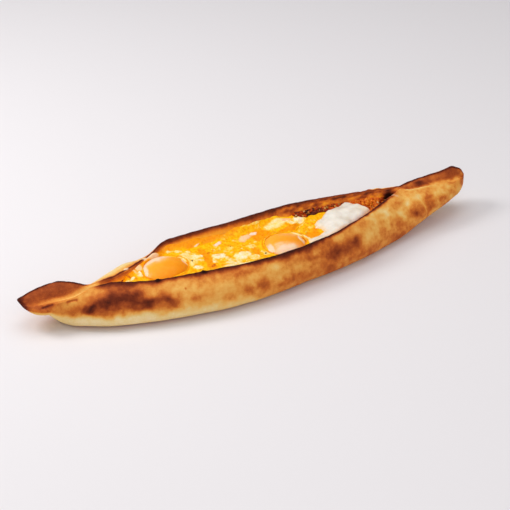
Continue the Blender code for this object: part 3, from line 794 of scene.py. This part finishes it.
def egg_looks(x, y, near, far):
    """How creamy, blushed, deep orange and rusty the egg is at each point, from its patches, drawn-out
    strands and flecks, and its distance from the walls. One creamy patch, beside the left yolk, is a painted
    highlight."""
    flat = flat_points(x, y)
    long_strands = strands(flat, 64.0, 8.0, 2.6, 81)
    cross_strands = strands(flat, 20.0, 9.0, 3.2, 84)
    curds = rough(flat, 3.4, 83)
    flecks = ease(strands(flat, 40.0, 5.0, 3.0, 87), 0.3, 0.6)
    middle_part = ease(x, -64, -52) * (1 - ease(x, 44, 62))
    cream = patches(flat, CREAM_AND_GLINT)
    cream = cream * (1 + 0.3 * long_strands + 0.5 * curds)
    cream = np.maximum(cream, patches(flat, CREAM_POOL, 0.6, 9.0, (0.5, 1.1)))
    deep = patches(flat, DEEP, 2.2, 9.0, (0.35, 1.25))
    cream = np.maximum(cream, 0.6 * flecks * middle_part * (1 - deep))
    cream = np.maximum(cream, 0.8 * np.exp(-((y - near) / 1.4) ** 2) * ease(x, -70, -40))
    at_wall = 1 - ease(far - y + 2.0 * long_strands, 2.0, 11.0)
    deep = np.maximum(deep, 0.6 * at_wall * (1 - ease(x, -35, -5)))
    # A thin orange seam runs round each yolk.
    for node in YOLK_NODES:
        seam = np.exp(-((yolk_reach(x, y, node) - 1.04) / 0.04) ** 2)
        deep = np.maximum(deep, 0.8 * seam)
        cream = cream * (1 - 0.7 * seam)
    rust = patches(flat, RUST)
    blush = patches(flat, BLUSH)
    return {"cream": np.clip(cream * (1 - 0.85 * rust), 0, 1), "blush": np.clip(blush, 0, 1),
            "deep": np.clip(deep + 0.3 * np.clip(cross_strands, 0, 1), 0, 1), "rust": np.clip(rust, 0, 1)}


def egg_height(x, y, near, far, looks):
    """Height of the spread egg: its level, raised where it is creamy, sunk under the yolks, with a collar
    round the far half of each and a thin climb up the walls, and thinning out at both ends."""
    flat = flat_points(x, y)
    top = EGG_TOP + 0.8 * waves(x, y, 37.0) + 0.3 * noise(flat, 7.0, 91)
    top = top + 1.0 * looks["cream"] * (0.85 + 0.2 * noise(flat, 5.5, 92)) + 0.6 * looks["blush"]
    top = top + 0.25 * strands(flat, 64.0, 9.0, 3.2, 93) * (1 - 0.8 * looks["deep"]) - 0.6 * looks["deep"]
    top = top - 1.2 * ridge(flat, (33, 4), (50, 17), 2.0) + 0.8 * ridge(flat, (33, 8), (47, 20), 1.6)
    for node in YOLK_NODES:
        middle, _, _ = yolk_shape(node)
        away = yolk_reach(x, y, node)
        far_half = ease(y - middle[1], -8.0, 1.0)
        top = top + 1.7 * far_half * np.exp(-(np.maximum(away - 0.96, 0) / 0.22) ** 2)
        sunk = 1 - ease(away, 0.84, 0.94)
        top = top + sunk * (middle[2] - YOLK_SINK + 0.6 - top)
    top = top + up_the_wall(far - y, egg_climb(x)) + 0.7 * np.exp(-(y - near) / 1.5)
    top = top + 1.2 * ridge(flat, (-112, 15), (-102, 17), 4.0)
    end = ease(x, EGG_ENDS[0], EGG_ENDS[0] + 16) * (1 - ease(x, EGG_ENDS[1] - 12, EGG_ENDS[1]))
    low = meat_top(x, y) - 0.6
    return low + end * (top - low)


def sheet_between_walls(x, count, near_level, far_level):
    """Grid of (x, y) from wall to wall, reaching just into both, with the walls' own y at each station."""
    near, far = trough_sides(x, near_level, far_level)
    share = np.linspace(0, 1, count)
    y = (near - INTO_WALL)[:, None] + share * (far - near + 2 * INTO_WALL)[:, None]
    return np.broadcast_to(x[:, None], y.shape), y, near[:, None], far[:, None]


def closed_sheet(name, x, y, top, bottom, material, looks):
    """Closed piece under a grid of heights: rings that run over the top one way and back under it. The under
    side has a fifth of the points."""
    under = slice(None, None, 5)
    rings_y = np.concatenate([y[:, under][:, ::-1], y], axis=1)
    rings_z = np.concatenate([np.minimum(bottom, top - 0.5)[:, under][:, ::-1], top], axis=1)
    rings = np.stack([np.broadcast_to(x[:, :1], rings_y.shape), rings_y, rings_z], axis=-1)
    painted = {key: np.concatenate([v[:, under][:, ::-1], v], axis=1) for key, v in looks.items()}
    return lofted(name, rings, material, painted)


def set_egg_material():
    """Whole egg and melted cheese spread on the filling and set in the oven: bright yolk yellow with streaks
    of cream, orange where fat has risen and rusty where it touches meat, all under a wet, greasy shine."""
    material, tree, shader = new_material("set_egg_and_cheese")
    place = add(tree, "ShaderNodeTexCoord").outputs["Object"]
    # The cream attribute also holds one painted highlight, beside the left yolk.
    cream, blush, deep, rust = (add(tree, "ShaderNodeAttribute", {"attribute_name": key}).outputs["Fac"]
                                for key in ("cream", "blush", "deep", "rust"))
    # Curds of 3 mm, and streaks 1.4 mm wide and three times as long drawn out across the bread.
    curds = add(tree, "ShaderNodeTexNoise", Vector=place, Scale=1 / 0.003, Detail=3.0, Roughness=0.5)
    drawn = add(tree, "ShaderNodeMapping", Vector=place, Rotation=(0, 0, np.radians(-22)), Scale=(1, 0.3, 1))
    flecks = add(tree, "ShaderNodeTexNoise", Vector=drawn.outputs["Vector"], Scale=1 / 0.0014, Detail=2.0)
    mixed = add(tree, "ShaderNodeMath", {"operation": "MULTIPLY"}, in0=flecks.outputs["Fac"], in1=0.45)
    mixed = add(tree, "ShaderNodeMath", {"operation": "MULTIPLY_ADD"}, in0=curds.outputs["Fac"], in1=0.55,
                in2=mixed.outputs[0])
    yolk_yellow = add(tree, "ShaderNodeValToRGB", {"stops": (
        (0.3, "#EE8800"), (0.42, "#F7A400"), (0.52, "#FFB900"), (0.62, "#FCC418"), (0.7, "#E6BE28"))},
                      Fac=mixed.outputs[0])
    # The creamier, the more even: thin cream keeps yellow in its hollows, thick cream is nearly white.
    body = add(tree, "ShaderNodeMath", {"operation": "MULTIPLY"}, in0=cream, in1=0.5)
    body = add(tree, "ShaderNodeMath", {"operation": "MULTIPLY_ADD"}, in0=mixed.outputs[0], in1=0.7,
               in2=body.outputs[0])
    pale = add(tree, "ShaderNodeValToRGB", {"stops": (
        (0.45, "#F6BE30"), (0.62, "#F9D064"), (0.78, "#FCE0A0"), (0.94, "#FFF1DA"))}, Fac=body.outputs[0])
    orange = add(tree, "ShaderNodeValToRGB", {"stops": (
        (0.2, "#EC8200"), (0.5, "#F89600"), (0.8, "#FFA800"))}, Fac=curds.outputs["Fac"])
    rusty = add(tree, "ShaderNodeValToRGB", {"stops": (
        (0.3, "#7A2A08"), (0.44, "#B24E0A"), (0.56, "#D8700C"), (0.7, "#EC9424"))}, Fac=mixed.outputs[0])
    edge = add(tree, "ShaderNodeMath", {"operation": "MULTIPLY_ADD"}, in0=mixed.outputs[0], in1=0.5,
               in2=-0.25)

    def over(below, strength, above):
        """Lay a colour over another where its strength, roughened by the curds, is high."""
        ragged = add(tree, "ShaderNodeMath", {"operation": "ADD"}, in0=strength, in1=edge.outputs[0])
        share = add(tree, "ShaderNodeMapRange", {"interpolation_type": "SMOOTHSTEP"}, Value=ragged.outputs[0],
                    in1=0.22, in2=0.68)
        return add(tree, "ShaderNodeMix", {"data_type": "RGBA"}, in0=share.outputs[0], in6=below,
                   in7=above).outputs[2]

    colour = over(yolk_yellow.outputs["Color"], deep, orange.outputs["Color"])
    colour = over(colour, cream, pale.outputs["Color"])
    skin = add(tree, "ShaderNodeValToRGB", {"stops": (
        (0.5, "#FBB866"), (0.8, "#F9C690"), (1.0, "#F6D8C4"))}, Fac=blush)
    colour = over(colour, blush, skin.outputs["Color"])
    colour = over(colour, rust, rusty.outputs["Color"])
    height = add(tree, "ShaderNodeMath", {"operation": "MULTIPLY_ADD"}, in0=curds.outputs["Fac"], in1=2.0,
                 in2=flecks.outputs["Fac"])
    smooth = add(tree, "ShaderNodeMapRange", Value=deep, in1=0.2, in2=0.9, in3=0.3, in4=0.1)
    bump = add(tree, "ShaderNodeBump", Height=height.outputs[0], Strength=smooth.outputs[0], Distance=0.0004)
    gloss = add(tree, "ShaderNodeMapRange", Value=curds.outputs["Fac"], in1=0.3, in2=0.7, in3=0.2, in4=0.42)
    plug(tree, shader, Base_Color=colour, Normal=bump.outputs["Normal"], Roughness=gloss.outputs[0],
         IOR=1.42, Specular_IOR_Level=0.08, Coat_Weight=0.07, Coat_Roughness=0.12, Subsurface_Weight=0.15,
         Subsurface_Radius=(1.0, 0.55, 0.2), Subsurface_Scale=0.003)
    return material


def make_spread_egg():
    """The egg and cheese spread over the meat from wall to wall."""
    x = np.linspace(*EGG_ENDS, 440)
    x, y, near, far = sheet_between_walls(x, 140, EGG_TOP, EGG_TOP + egg_climb(x))
    looks = egg_looks(x, y, near, far)
    top = egg_height(x, y, near, far, looks)
    bottom = meat_top(x, y) - 1.5
    piece = closed_sheet("spread_egg", x, y, top, bottom, set_egg_material(), looks)
    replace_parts(piece, "egg_layer")
    return x, y, top


def yolk_material():
    """Egg yolk set just firm in the oven: deep orange and glossy, with the thin skin of white that has turned
    opaque over part of it, peach where it is thin and pearly where it is thick. Painted shade deepens the
    orange towards the near right, and painted highlights lie at the left edges."""
    material, tree, shader = new_material("baked_yolk")
    place = add(tree, "ShaderNodeTexCoord").outputs["Object"]
    # The film attribute holds the skin of white and, at the yolks' left edges, painted highlights.
    film, low = (add(tree, "ShaderNodeAttribute", {"attribute_name": key}).outputs["Fac"]
                 for key in ("film", "low"))
    cloud = add(tree, "ShaderNodeTexNoise", Vector=place, Scale=1 / 0.004, Detail=3.0)
    grain = add(tree, "ShaderNodeTexNoise", Vector=place, Scale=1 / 0.0007, Detail=2.0)
    # Painted shade: the body's orange deepens towards the yolk's near right and lightens towards its far
    # left.
    shade = add(tree, "ShaderNodeMath", {"operation": "MULTIPLY_ADD"}, in0=cloud.outputs["Fac"], in1=0.3,
                in2=low)
    body = add(tree, "ShaderNodeValToRGB", {"stops": (
        (0.1, "#FFB646"), (0.45, "#FEAA2E"), (0.8, "#F89A12"), (1.0, "#F08A00"))}, Fac=shade.outputs[0])
    ragged = add(tree, "ShaderNodeMath", {"operation": "MULTIPLY_ADD"}, in0=cloud.outputs["Fac"], in1=0.5,
                 in2=film)
    veil = add(tree, "ShaderNodeMapRange", {"interpolation_type": "SMOOTHSTEP"}, Value=ragged.outputs[0],
               in1=0.3, in2=1.3)
    skin = add(tree, "ShaderNodeValToRGB", {"stops": (
        (0.0, "#FDB85E"), (0.6, "#FBC07E"), (1.0, "#F6D2AE"))}, Fac=veil.outputs[0])
    colour = add(tree, "ShaderNodeMix", {"data_type": "RGBA"}, in0=veil.outputs[0], in6=body.outputs["Color"],
                 in7=skin.outputs["Color"])
    bump = add(tree, "ShaderNodeBump", Height=grain.outputs["Fac"], Strength=0.12, Distance=0.0003)
    plug(tree, shader, Base_Color=colour.outputs[2], Normal=bump.outputs["Normal"], Roughness=0.4, IOR=1.42,
         Specular_IOR_Level=0.12, Coat_Weight=0.1, Coat_Roughness=0.12, Subsurface_Weight=0.25,
         Subsurface_Radius=(1.0, 0.5, 0.15), Subsurface_Scale=0.004)
    return material


# Skin of white on each yolk, and painted highlights: the right yolk's first patch is a painted highlight, and
# the left yolk's patch at its left edge is partly skin and partly painted highlight. Each patch: direction
# from the middle in shares of the outline, half length, half width, turn in degrees and strength.
YOLK_SKIN_AND_GLINTS = {
    "yolk_left": ((-0.3, 1.0, 1.4, 0.95, 8, 1.25), (-1.0, 0.1, 0.3, 0.8, 0, 1.3),
                  (1.0, 0.0, 0.1, 0.9, 0, 0.9)),
    "yolk_right": ((-0.82, -0.3, 0.3, 0.5, 0, 1.3), (-0.2, -0.8, 1.1, 0.6, 4, 1.0),
                   (-0.3, -0.35, 0.45, 0.25, -20, 0.7), (0.93, -0.1, 0.14, 0.9, -8, 0.9),
                   (0.5, 0.5, 0.7, 0.5, -20, 0.6), (0.0, 0.98, 0.9, 0.1, 0, 0.6)),
}


def make_yolk(node, material):
    """A yolk as a dome: rings whose width is a power of the cosine of their tilt and whose height is a power
    of one minus another such power, on an outline that swells and dips round its middle."""
    middle, half, rise = yolk_shape(node)
    around = np.linspace(0, 2 * np.pi, 168, endpoint=False)[::-1]
    tilt = np.concatenate([np.linspace(-84, 0, 8, endpoint=False), np.linspace(0, 88, 60)])
    tilt = np.radians(tilt)[:, None]
    uneven = np.sin(2 * around + 0.5) + np.sin(3 * around + 2.0) + 0.6 * np.sin(5 * around)
    share = np.cos(tilt) ** 0.8 * (1 + 0.018 * uneven)
    u, v = share * np.cos(around), share * np.sin(around)
    lift = np.where(tilt > 0, rise * (1 - np.cos(tilt) ** 1.6) ** 0.75, YOLK_SINK * np.sin(tilt))
    # The patches hold the skin of white, and painted highlights at the yolks' left edges.
    skin = patches(flat_points(u, v), YOLK_SKIN_AND_GLINTS[node], 0.12, 0.5, (0.2, 1.35))
    points = np.stack([middle[0] + u * half[0] * YOLK_FILL, middle[1] + v * half[1] * YOLK_FILL,
                       np.broadcast_to(middle[2] + lift, u.shape)], axis=-1)
    top = ease(tilt, 0.0, 0.3)
    wrinkle = 0.16 * noise(points, 9.0, 101) + skin * (0.14 * noise(points, (2.2, 4.0, 3.0), 102) + 0.12)
    points[..., 2] += np.minimum(top * (wrinkle - 0.25), 0.0)
    # Painted shade: deeper orange towards the yolk's near right, lighter towards its far left, where the key
    # light falls.
    low = np.clip(0.5 - 0.25 * v + 0.25 * u, 0, 1)
    return lofted(node.replace("yolk", "yolk_dome"), points, material, {"film": skin, "low": low})


def egg_white_material():
    """Egg white cooked until opaque: smooth, moist and pearly, cloudy grey in places and yellow at its thin
    edge."""
    material, tree, shader = new_material("cooked_egg_white")
    place = add(tree, "ShaderNodeTexCoord").outputs["Object"]
    thin = add(tree, "ShaderNodeAttribute", {"attribute_name": "thin"}).outputs["Fac"]
    cloud = add(tree, "ShaderNodeTexNoise", Vector=place, Scale=1 / 0.011, Detail=3.0)
    grain = add(tree, "ShaderNodeTexNoise", Vector=place, Scale=1 / 0.0012, Detail=3.0)
    body = add(tree, "ShaderNodeValToRGB", {"stops": (
        (0.3, "#D8CBB8"), (0.48, "#E8DECF"), (0.66, "#F2EADD"))}, Fac=cloud.outputs["Fac"])
    colour = add(tree, "ShaderNodeMix", {"data_type": "RGBA"}, in0=thin, in6=body.outputs["Color"],
                 in7=linear("#FAD9A4"))
    bump = add(tree, "ShaderNodeBump", Height=grain.outputs["Fac"], Strength=0.15, Distance=0.0003)
    plug(tree, shader, Base_Color=colour.outputs[2], Normal=bump.outputs["Normal"], Roughness=0.34,
         IOR=1.38, Coat_Weight=0.35, Coat_Roughness=0.15, Subsurface_Weight=0.3,
         Subsurface_Radius=(1.0, 0.8, 0.6), Subsurface_Scale=0.004)
    return material


def make_egg_white():
    """The fold of white: inside its edge it swells to its full height over a few millimetres, as one minus a
    falling exponential does, and outside it dives under the egg. Soft folds and a dip run over it."""
    across_x = [x for x, _ in WHITE_EDGE]
    x = np.linspace(min(across_x) - 2, max(across_x) + 2, 200)
    x, y, _, _ = sheet_between_walls(x, 150, EGG_TOP, EGG_TOP)
    flat = flat_points(x, y)
    there = stirred(flat, 0.9, 5.0, 121)
    depth = edge_depth(there[..., 0], there[..., 1], WHITE_EDGE)
    full = 4.6 * ease(x, 44, 78) + 1.6
    swell = full * (1 - np.exp(-np.maximum(depth, 0) / 2.2)) - 1.4 * np.maximum(-depth, 0)
    folds = 0.28 * strands(flat, 25.0, 22.0, 8.0, 131) + 0.08 * noise(flat, 5.0, 132)
    folds = folds + 0.06 * noise(flat, 2.2, 133)
    dip = 1.3 * np.exp(-(((x - 92) / 9) ** 2 + ((y - 15) / 5) ** 2))
    dip = dip + 0.4 * ridge(flat, (62, -6), (86, 4), 3.5)
    dip = dip + 0.4 * ridge(flat, (70, 12), (84, 6), 2.5) - 0.6 * ridge(flat, (98, 4), (106, 14), 2.5)
    top = EGG_TOP + 0.4 + swell + (folds - dip) * ease(depth, 0.5, 5)
    top = np.maximum(top, EGG_TOP - WHITE_DIVE)
    thin = 0.7 * np.clip(1 - depth / (1.8 + 2.4 * (1 - ease(x, 70, 90))), 0, 1) + 0.4 * ease(x, 98, 112)
    bottom = np.full_like(top, EGG_TOP - WHITE_UNDER)
    material = egg_white_material()
    piece = closed_sheet("set_egg_white", x, y, top, bottom, material, {"thin": thin})
    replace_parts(piece, "egg_white")


def minced_meat_material():
    """Minced meat baked in tomato and its own fat: fine crumbs from rust red to dark brown, with a greasy
    gleam."""
    material, tree, shader = new_material("baked_minced_meat")
    place = add(tree, "ShaderNodeTexCoord").outputs["Object"]
    tone = add(tree, "ShaderNodeAttribute", {"attribute_name": "tone"}).outputs["Fac"]
    crumb = add(tree, "ShaderNodeTexNoise", Vector=place, Scale=1 / 0.0013, Detail=4.0, Roughness=0.6)
    level = add(tree, "ShaderNodeMath", {"operation": "MULTIPLY_ADD"}, in0=crumb.outputs["Fac"], in1=0.6,
                in2=tone)
    colour = add(tree, "ShaderNodeValToRGB", {"stops": (
        (0.2, "#200A06"), (0.4, "#571A06"), (0.58, "#943004"), (0.76, "#C84E04"), (0.95, "#E07C1C"))},
                 Fac=level.outputs[0])
    bump = add(tree, "ShaderNodeBump", Height=crumb.outputs["Fac"], Strength=0.5, Distance=0.0005)
    plug(tree, shader, Base_Color=colour.outputs["Color"], Normal=bump.outputs["Normal"], Roughness=0.42,
         IOR=1.44, Specular_IOR_Level=0.14, Coat_Weight=0.06, Coat_Roughness=0.15, Subsurface_Weight=0.06,
         Subsurface_Radius=(1.0, 0.3, 0.15), Subsurface_Scale=0.002)
    return material


def meat_relief(x, y, far):
    """Height of the meat's crumbled surface: its level, banked up where it shows along the far wall, with a
    hollow at the blunt end, and a rounded hump over each grain of two sizes."""
    flat = flat_points(x, y)
    gap = far - y
    reach = 6.0 - 2.5 * ease(x, 58, 74)
    bank = ease(x, 40, 47) * (1 - ease(x, 130, 142))
    bank = bank * (1 - ease(gap + 1.5 * noise(flat, 5.0, 143) - reach, 0, 4))
    level = meat_top(x, y)
    level = level + bank * (EGG_TOP + 1.4 - level) + up_the_wall(gap, meat_climb(x))
    hollow = 6.0 * ease(x, 128, 139) * (1 - ease(y - curve(NEAR_RIM_Y, x), 7, 14))
    coarse = 1 - grains(flat, 3.4, 141) ** 2
    fine = 1 - grains(flat, 1.7, 142) ** 2
    return level + 1.1 * (coarse - 0.5) + 0.45 * (fine - 0.5) - 0.6 - hollow


def make_meat_bed(material):
    """The bed of minced meat that fills the trough, down to its floor."""
    x = np.linspace(*MEAT_ENDS, 400)
    x, y, near, far = sheet_between_walls(x, 130, MEAT_SHOWING - 1, EGG_TOP + meat_climb(x))
    top = meat_relief(x, y, far)
    wall = np.minimum(y - near, far - y)
    depth = 11.0 * ease(wall, -0.5, 7) * ease(x - MEAT_ENDS[0], 0, 14) * ease(MEAT_ENDS[1] - x, 0, 14)
    flat = flat_points(x, y)
    # Painted shade: the tone darkens away from the middles of the coarse grains, in the hollows between them.
    tone = curve(MEAT_TONE_AND_SHADE, x) + 0.3 * noise(flat, 6.0, 151) - 0.25 * grains(flat, 3.4, 141)
    piece = closed_sheet("meat_bed", x, y, top, top - 1.5 - depth, material, {"tone": tone})
    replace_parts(piece, "minced_meat")


def lumps(name, places, sizes, material, seed, flatness=1.0, tone=None):
    """Many small lumps in one mesh: each is the same 6 by 8 ball of rings, its points pushed in and out at
    random, stretched, turned about three random axes and moved to its place."""
    rng = np.random.default_rng(seed)
    count = len(places)
    tilt = np.linspace(-np.pi / 2, np.pi / 2, 7)[1:-1]
    around = np.linspace(0, 2 * np.pi, 8, endpoint=False)[::-1]
    ball = np.stack([np.outer(np.cos(tilt), np.cos(around)), np.outer(np.cos(tilt), np.sin(around)),
                     np.outer(np.sin(tilt), np.ones(8))], axis=-1).reshape(-1, 3)
    ball = np.vstack([ball, (0, 0, -1), (0, 0, 1)])
    points = ball * (1 + rng.uniform(-0.3, 0.3, (count, len(ball), 1)))
    points = points * rng.uniform(0.5, 1.5, (count, 1, 3)) * (1, 1, flatness)
    # Flat bits lie nearly level, and round ones may be turned any way.
    level = 0.45 if flatness < 1 else 1
    tilted = rng.normal(0, 1, (count, 4)) * (1, level, level, 1)
    a, b, c, d = (tilted / np.linalg.norm(tilted, axis=1, keepdims=True)).T
    turn = np.array([[a * a + b * b - c * c - d * d, 2 * (b * c - a * d), 2 * (b * d + a * c)],
                     [2 * (b * c + a * d), a * a - b * b + c * c - d * d, 2 * (c * d - a * b)],
                     [2 * (b * d - a * c), 2 * (c * d + a * b), a * a - b * b - c * c + d * d]])
    points = np.einsum("ijn,nkj->nki", turn, points) * (np.asarray(sizes) / 2)[:, None, None]
    points = points + np.asarray(places)[:, None]
    faces = ring_faces(len(tilt), len(around))
    offsets = np.arange(count)[:, None, None] * len(ball)
    faces = [(f[None] + offsets).reshape(-1, f.shape[1]) for f in faces]
    tone = rng.uniform(0, 1, count) if tone is None else tone
    values = np.repeat(tone, len(ball))
    return new_piece(name, points.reshape(-1, 3), faces, material, {"tone": values})


def scattered(rng, count, patch, height):
    """Random places (x, y, z) in a turned oval patch, resting on the surface of that height."""
    x, y, long, wide, turn = patch
    share = np.sqrt(rng.uniform(0, 1, count))
    angle = rng.uniform(0, 2 * np.pi, count)
    u, v = share * np.cos(angle) * long, share * np.sin(angle) * wide
    cos, sin = np.cos(np.radians(turn)), np.sin(np.radians(turn))
    px, py = x + u * cos - v * sin, y + u * sin + v * cos
    near, far = trough_sides(px, EGG_TOP, EGG_TOP + meat_climb(px))
    py = np.clip(py, near + 0.6, far - 0.4)
    return np.stack([px, py, height(px, py)], axis=-1)


# Where loose crumbs and bits lie: x, y, half length, half width, turn in degrees, and how many.
MEAT_PATCHES = (((122, 15, 22, 11, 22), 340), ((80, 27, 20, 2.5, -2), 60), ((54, 27, 9, 4, -2), 60),
                ((108, 22, 9, 9, -20), 120), ((-143, 0, 6, 4, 20), 16))
ONION_PATCHES = (((132, 16, 13, 4.5, 30), 26), ((84, 24, 14, 2.6, 6), 8), ((52, 24, 9, 3.4, 10), 8))
PEPPER_PLACES = ((-72.5, -4.5), (-8, -21), (-31, 4))


def looked_up(x, y, top):
    """Function that reads the height of a grid (x, y, top) at any places, from its nearest point."""
    stations = x[:, 0]

    def height(px, py):
        i = np.clip(np.searchsorted(stations, px), 0, len(stations) - 1)
        start, end = y[i, 0], y[i, -1]
        j = np.clip(np.rint((py - start) / (end - start) * (y.shape[1] - 1)).astype(int), 0, y.shape[1] - 1)
        return top[i, j]
    return height


def onion_material():
    """Diced onion and green pepper baked soft: cream to olive, translucent and slightly glazed."""
    material, tree, shader = new_material("baked_onion_and_pepper")
    tone = add(tree, "ShaderNodeAttribute", {"attribute_name": "tone"}).outputs["Fac"]
    colour = add(tree, "ShaderNodeValToRGB", {"stops": (
        (0.0, "#E9BE7C"), (0.3, "#D2923E"), (0.7, "#A8742A"), (1.0, "#7C5A1E"))}, Fac=tone)
    plug(tree, shader, Base_Color=colour.outputs["Color"], Roughness=0.35, IOR=1.4, Subsurface_Weight=0.2,
         Subsurface_Radius=(1.0, 0.8, 0.4), Subsurface_Scale=0.002)
    return material


def pepper_material():
    """Coarsely ground black pepper: near black, dry and matt."""
    material, tree, shader = new_material("ground_black_pepper")
    tone = add(tree, "ShaderNodeAttribute", {"attribute_name": "tone"}).outputs["Fac"]
    colour = add(tree, "ShaderNodeValToRGB", {"stops": ((0.0, "#1E1410"), (1.0, "#4A2F1C"))}, Fac=tone)
    plug(tree, shader, Base_Color=colour.outputs["Color"], Roughness=0.7)
    return material


def make_loose_bits(egg_at, meat_material):
    """Crumbs of meat, diced onion and grains of pepper, resting on the meat and on the egg."""
    rng = np.random.default_rng(5)

    def surface(px, py):
        _, far = trough_sides(px, EGG_TOP, EGG_TOP + meat_climb(px))
        return np.maximum(egg_at(px, py), meat_relief(px, py, far) - 0.2)

    places = np.vstack([scattered(rng, count, patch, surface) for patch, count in MEAT_PATCHES])
    tone = curve(MEAT_TONE_AND_SHADE, places[:, 0]) + rng.uniform(-0.18, 0.18, len(places))
    sizes = 0.9 + 2.3 * rng.uniform(0, 1, len(places)) ** 2
    lumps("meat_crumbs", places, sizes, meat_material, 6, tone=tone)
    places = np.vstack([scattered(rng, count, patch, surface) for patch, count in ONION_PATCHES])
    places[:, 2] += 0.5
    sizes = rng.uniform(1.3, 3.0, len(places))
    lumps("onion_bits", places, sizes, onion_material(), 7, flatness=0.5)
    x, y = np.array(PEPPER_PLACES).T
    places = np.stack([x, y, surface(x, y) + 0.1], axis=-1)
    lumps("pepper_grains", places, np.linspace(1.7, 0.8, len(places)), pepper_material(), 8)


# ---------------------------------------------------------------- the bench, the light and the view

def make_bench():
    """A pale, matt bench top under the bread."""
    material, tree, shader = new_material("matt_white_laminate")
    plug(tree, shader, Base_Color=linear("#E5E1E2"), Roughness=0.8)
    mesh = bpy.data.meshes.new("bench")
    reach, height = 3.0, -0.0002
    corners = [(x * reach, y * reach, height) for x, y in ((-1, -1), (1, -1), (1, 1), (-1, 1))]
    mesh.from_pydata(corners, [], [(0, 1, 2, 3)])
    mesh.materials.append(material)
    bench = bpy.data.objects.new("bench", mesh)
    bpy.context.collection.objects.link(bench)


def softbox(name, place, size, energy):
    """A square soft light at that place, aimed at the bread."""
    light = bpy.data.lights.new(name, "AREA")
    light.energy = energy
    light.size = size
    lamp = bpy.data.objects.new(name, light)
    lamp.location = place
    lamp.rotation_euler = (-Vector(place)).to_track_quat("-Z", "Y").to_euler()
    bpy.context.collection.objects.link(lamp)


def make_light():
    """Key from the back left, a broad top light, and fills from the front and the right, in a pale room."""
    softbox("key", (-0.75, 0.55, 0.9), 0.5, 8.0)
    softbox("top", (0.1, 0.2, 1.5), 1.4, 9.0)
    softbox("front_fill", (-0.5, -1.4, 1.0), 1.2, 7.6)
    softbox("right_fill", (1.2, -1.1, 0.8), 1.0, 3.0)
    world = bpy.data.worlds.new("pale_room")
    world.use_nodes = True
    world.node_tree.nodes["Background"].inputs["Color"].default_value = linear("#F4F4F8")
    world.node_tree.nodes["Background"].inputs["Strength"].default_value = 0.36
    bpy.context.scene.world = world


def make_camera():
    """The view: from the front left, looking down."""
    camera = bpy.data.cameras.new("view")
    camera.sensor_width = 36.0
    camera.lens = 100.2
    azimuth, elevation = np.radians(26.6), np.radians(31.32)
    level = np.cos(elevation)
    direction = Vector((np.sin(azimuth) * level, np.cos(azimuth) * level, -np.sin(elevation)))
    view = bpy.data.objects.new("view", camera)
    view.location = (-0.501, -0.984, 0.6846)
    view.rotation_euler = direction.to_track_quat("-Z", "Y").to_euler()
    bpy.context.collection.objects.link(view)
    bpy.context.scene.camera = view


def make_all():
    """Every piece of the bread, and what it is shown on and in."""
    make_dough()
    egg_x, egg_y, egg_z = make_spread_egg()
    yolk = yolk_material()
    for node in YOLK_NODES:
        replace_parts(make_yolk(node, yolk), node)
    make_egg_white()
    meat = minced_meat_material()
    make_meat_bed(meat)
    make_loose_bits(looked_up(egg_x, egg_y, egg_z), meat)
    make_bench()
    make_light()
    make_camera()
    bpy.context.scene.view_settings.view_transform = "Standard"


make_all()
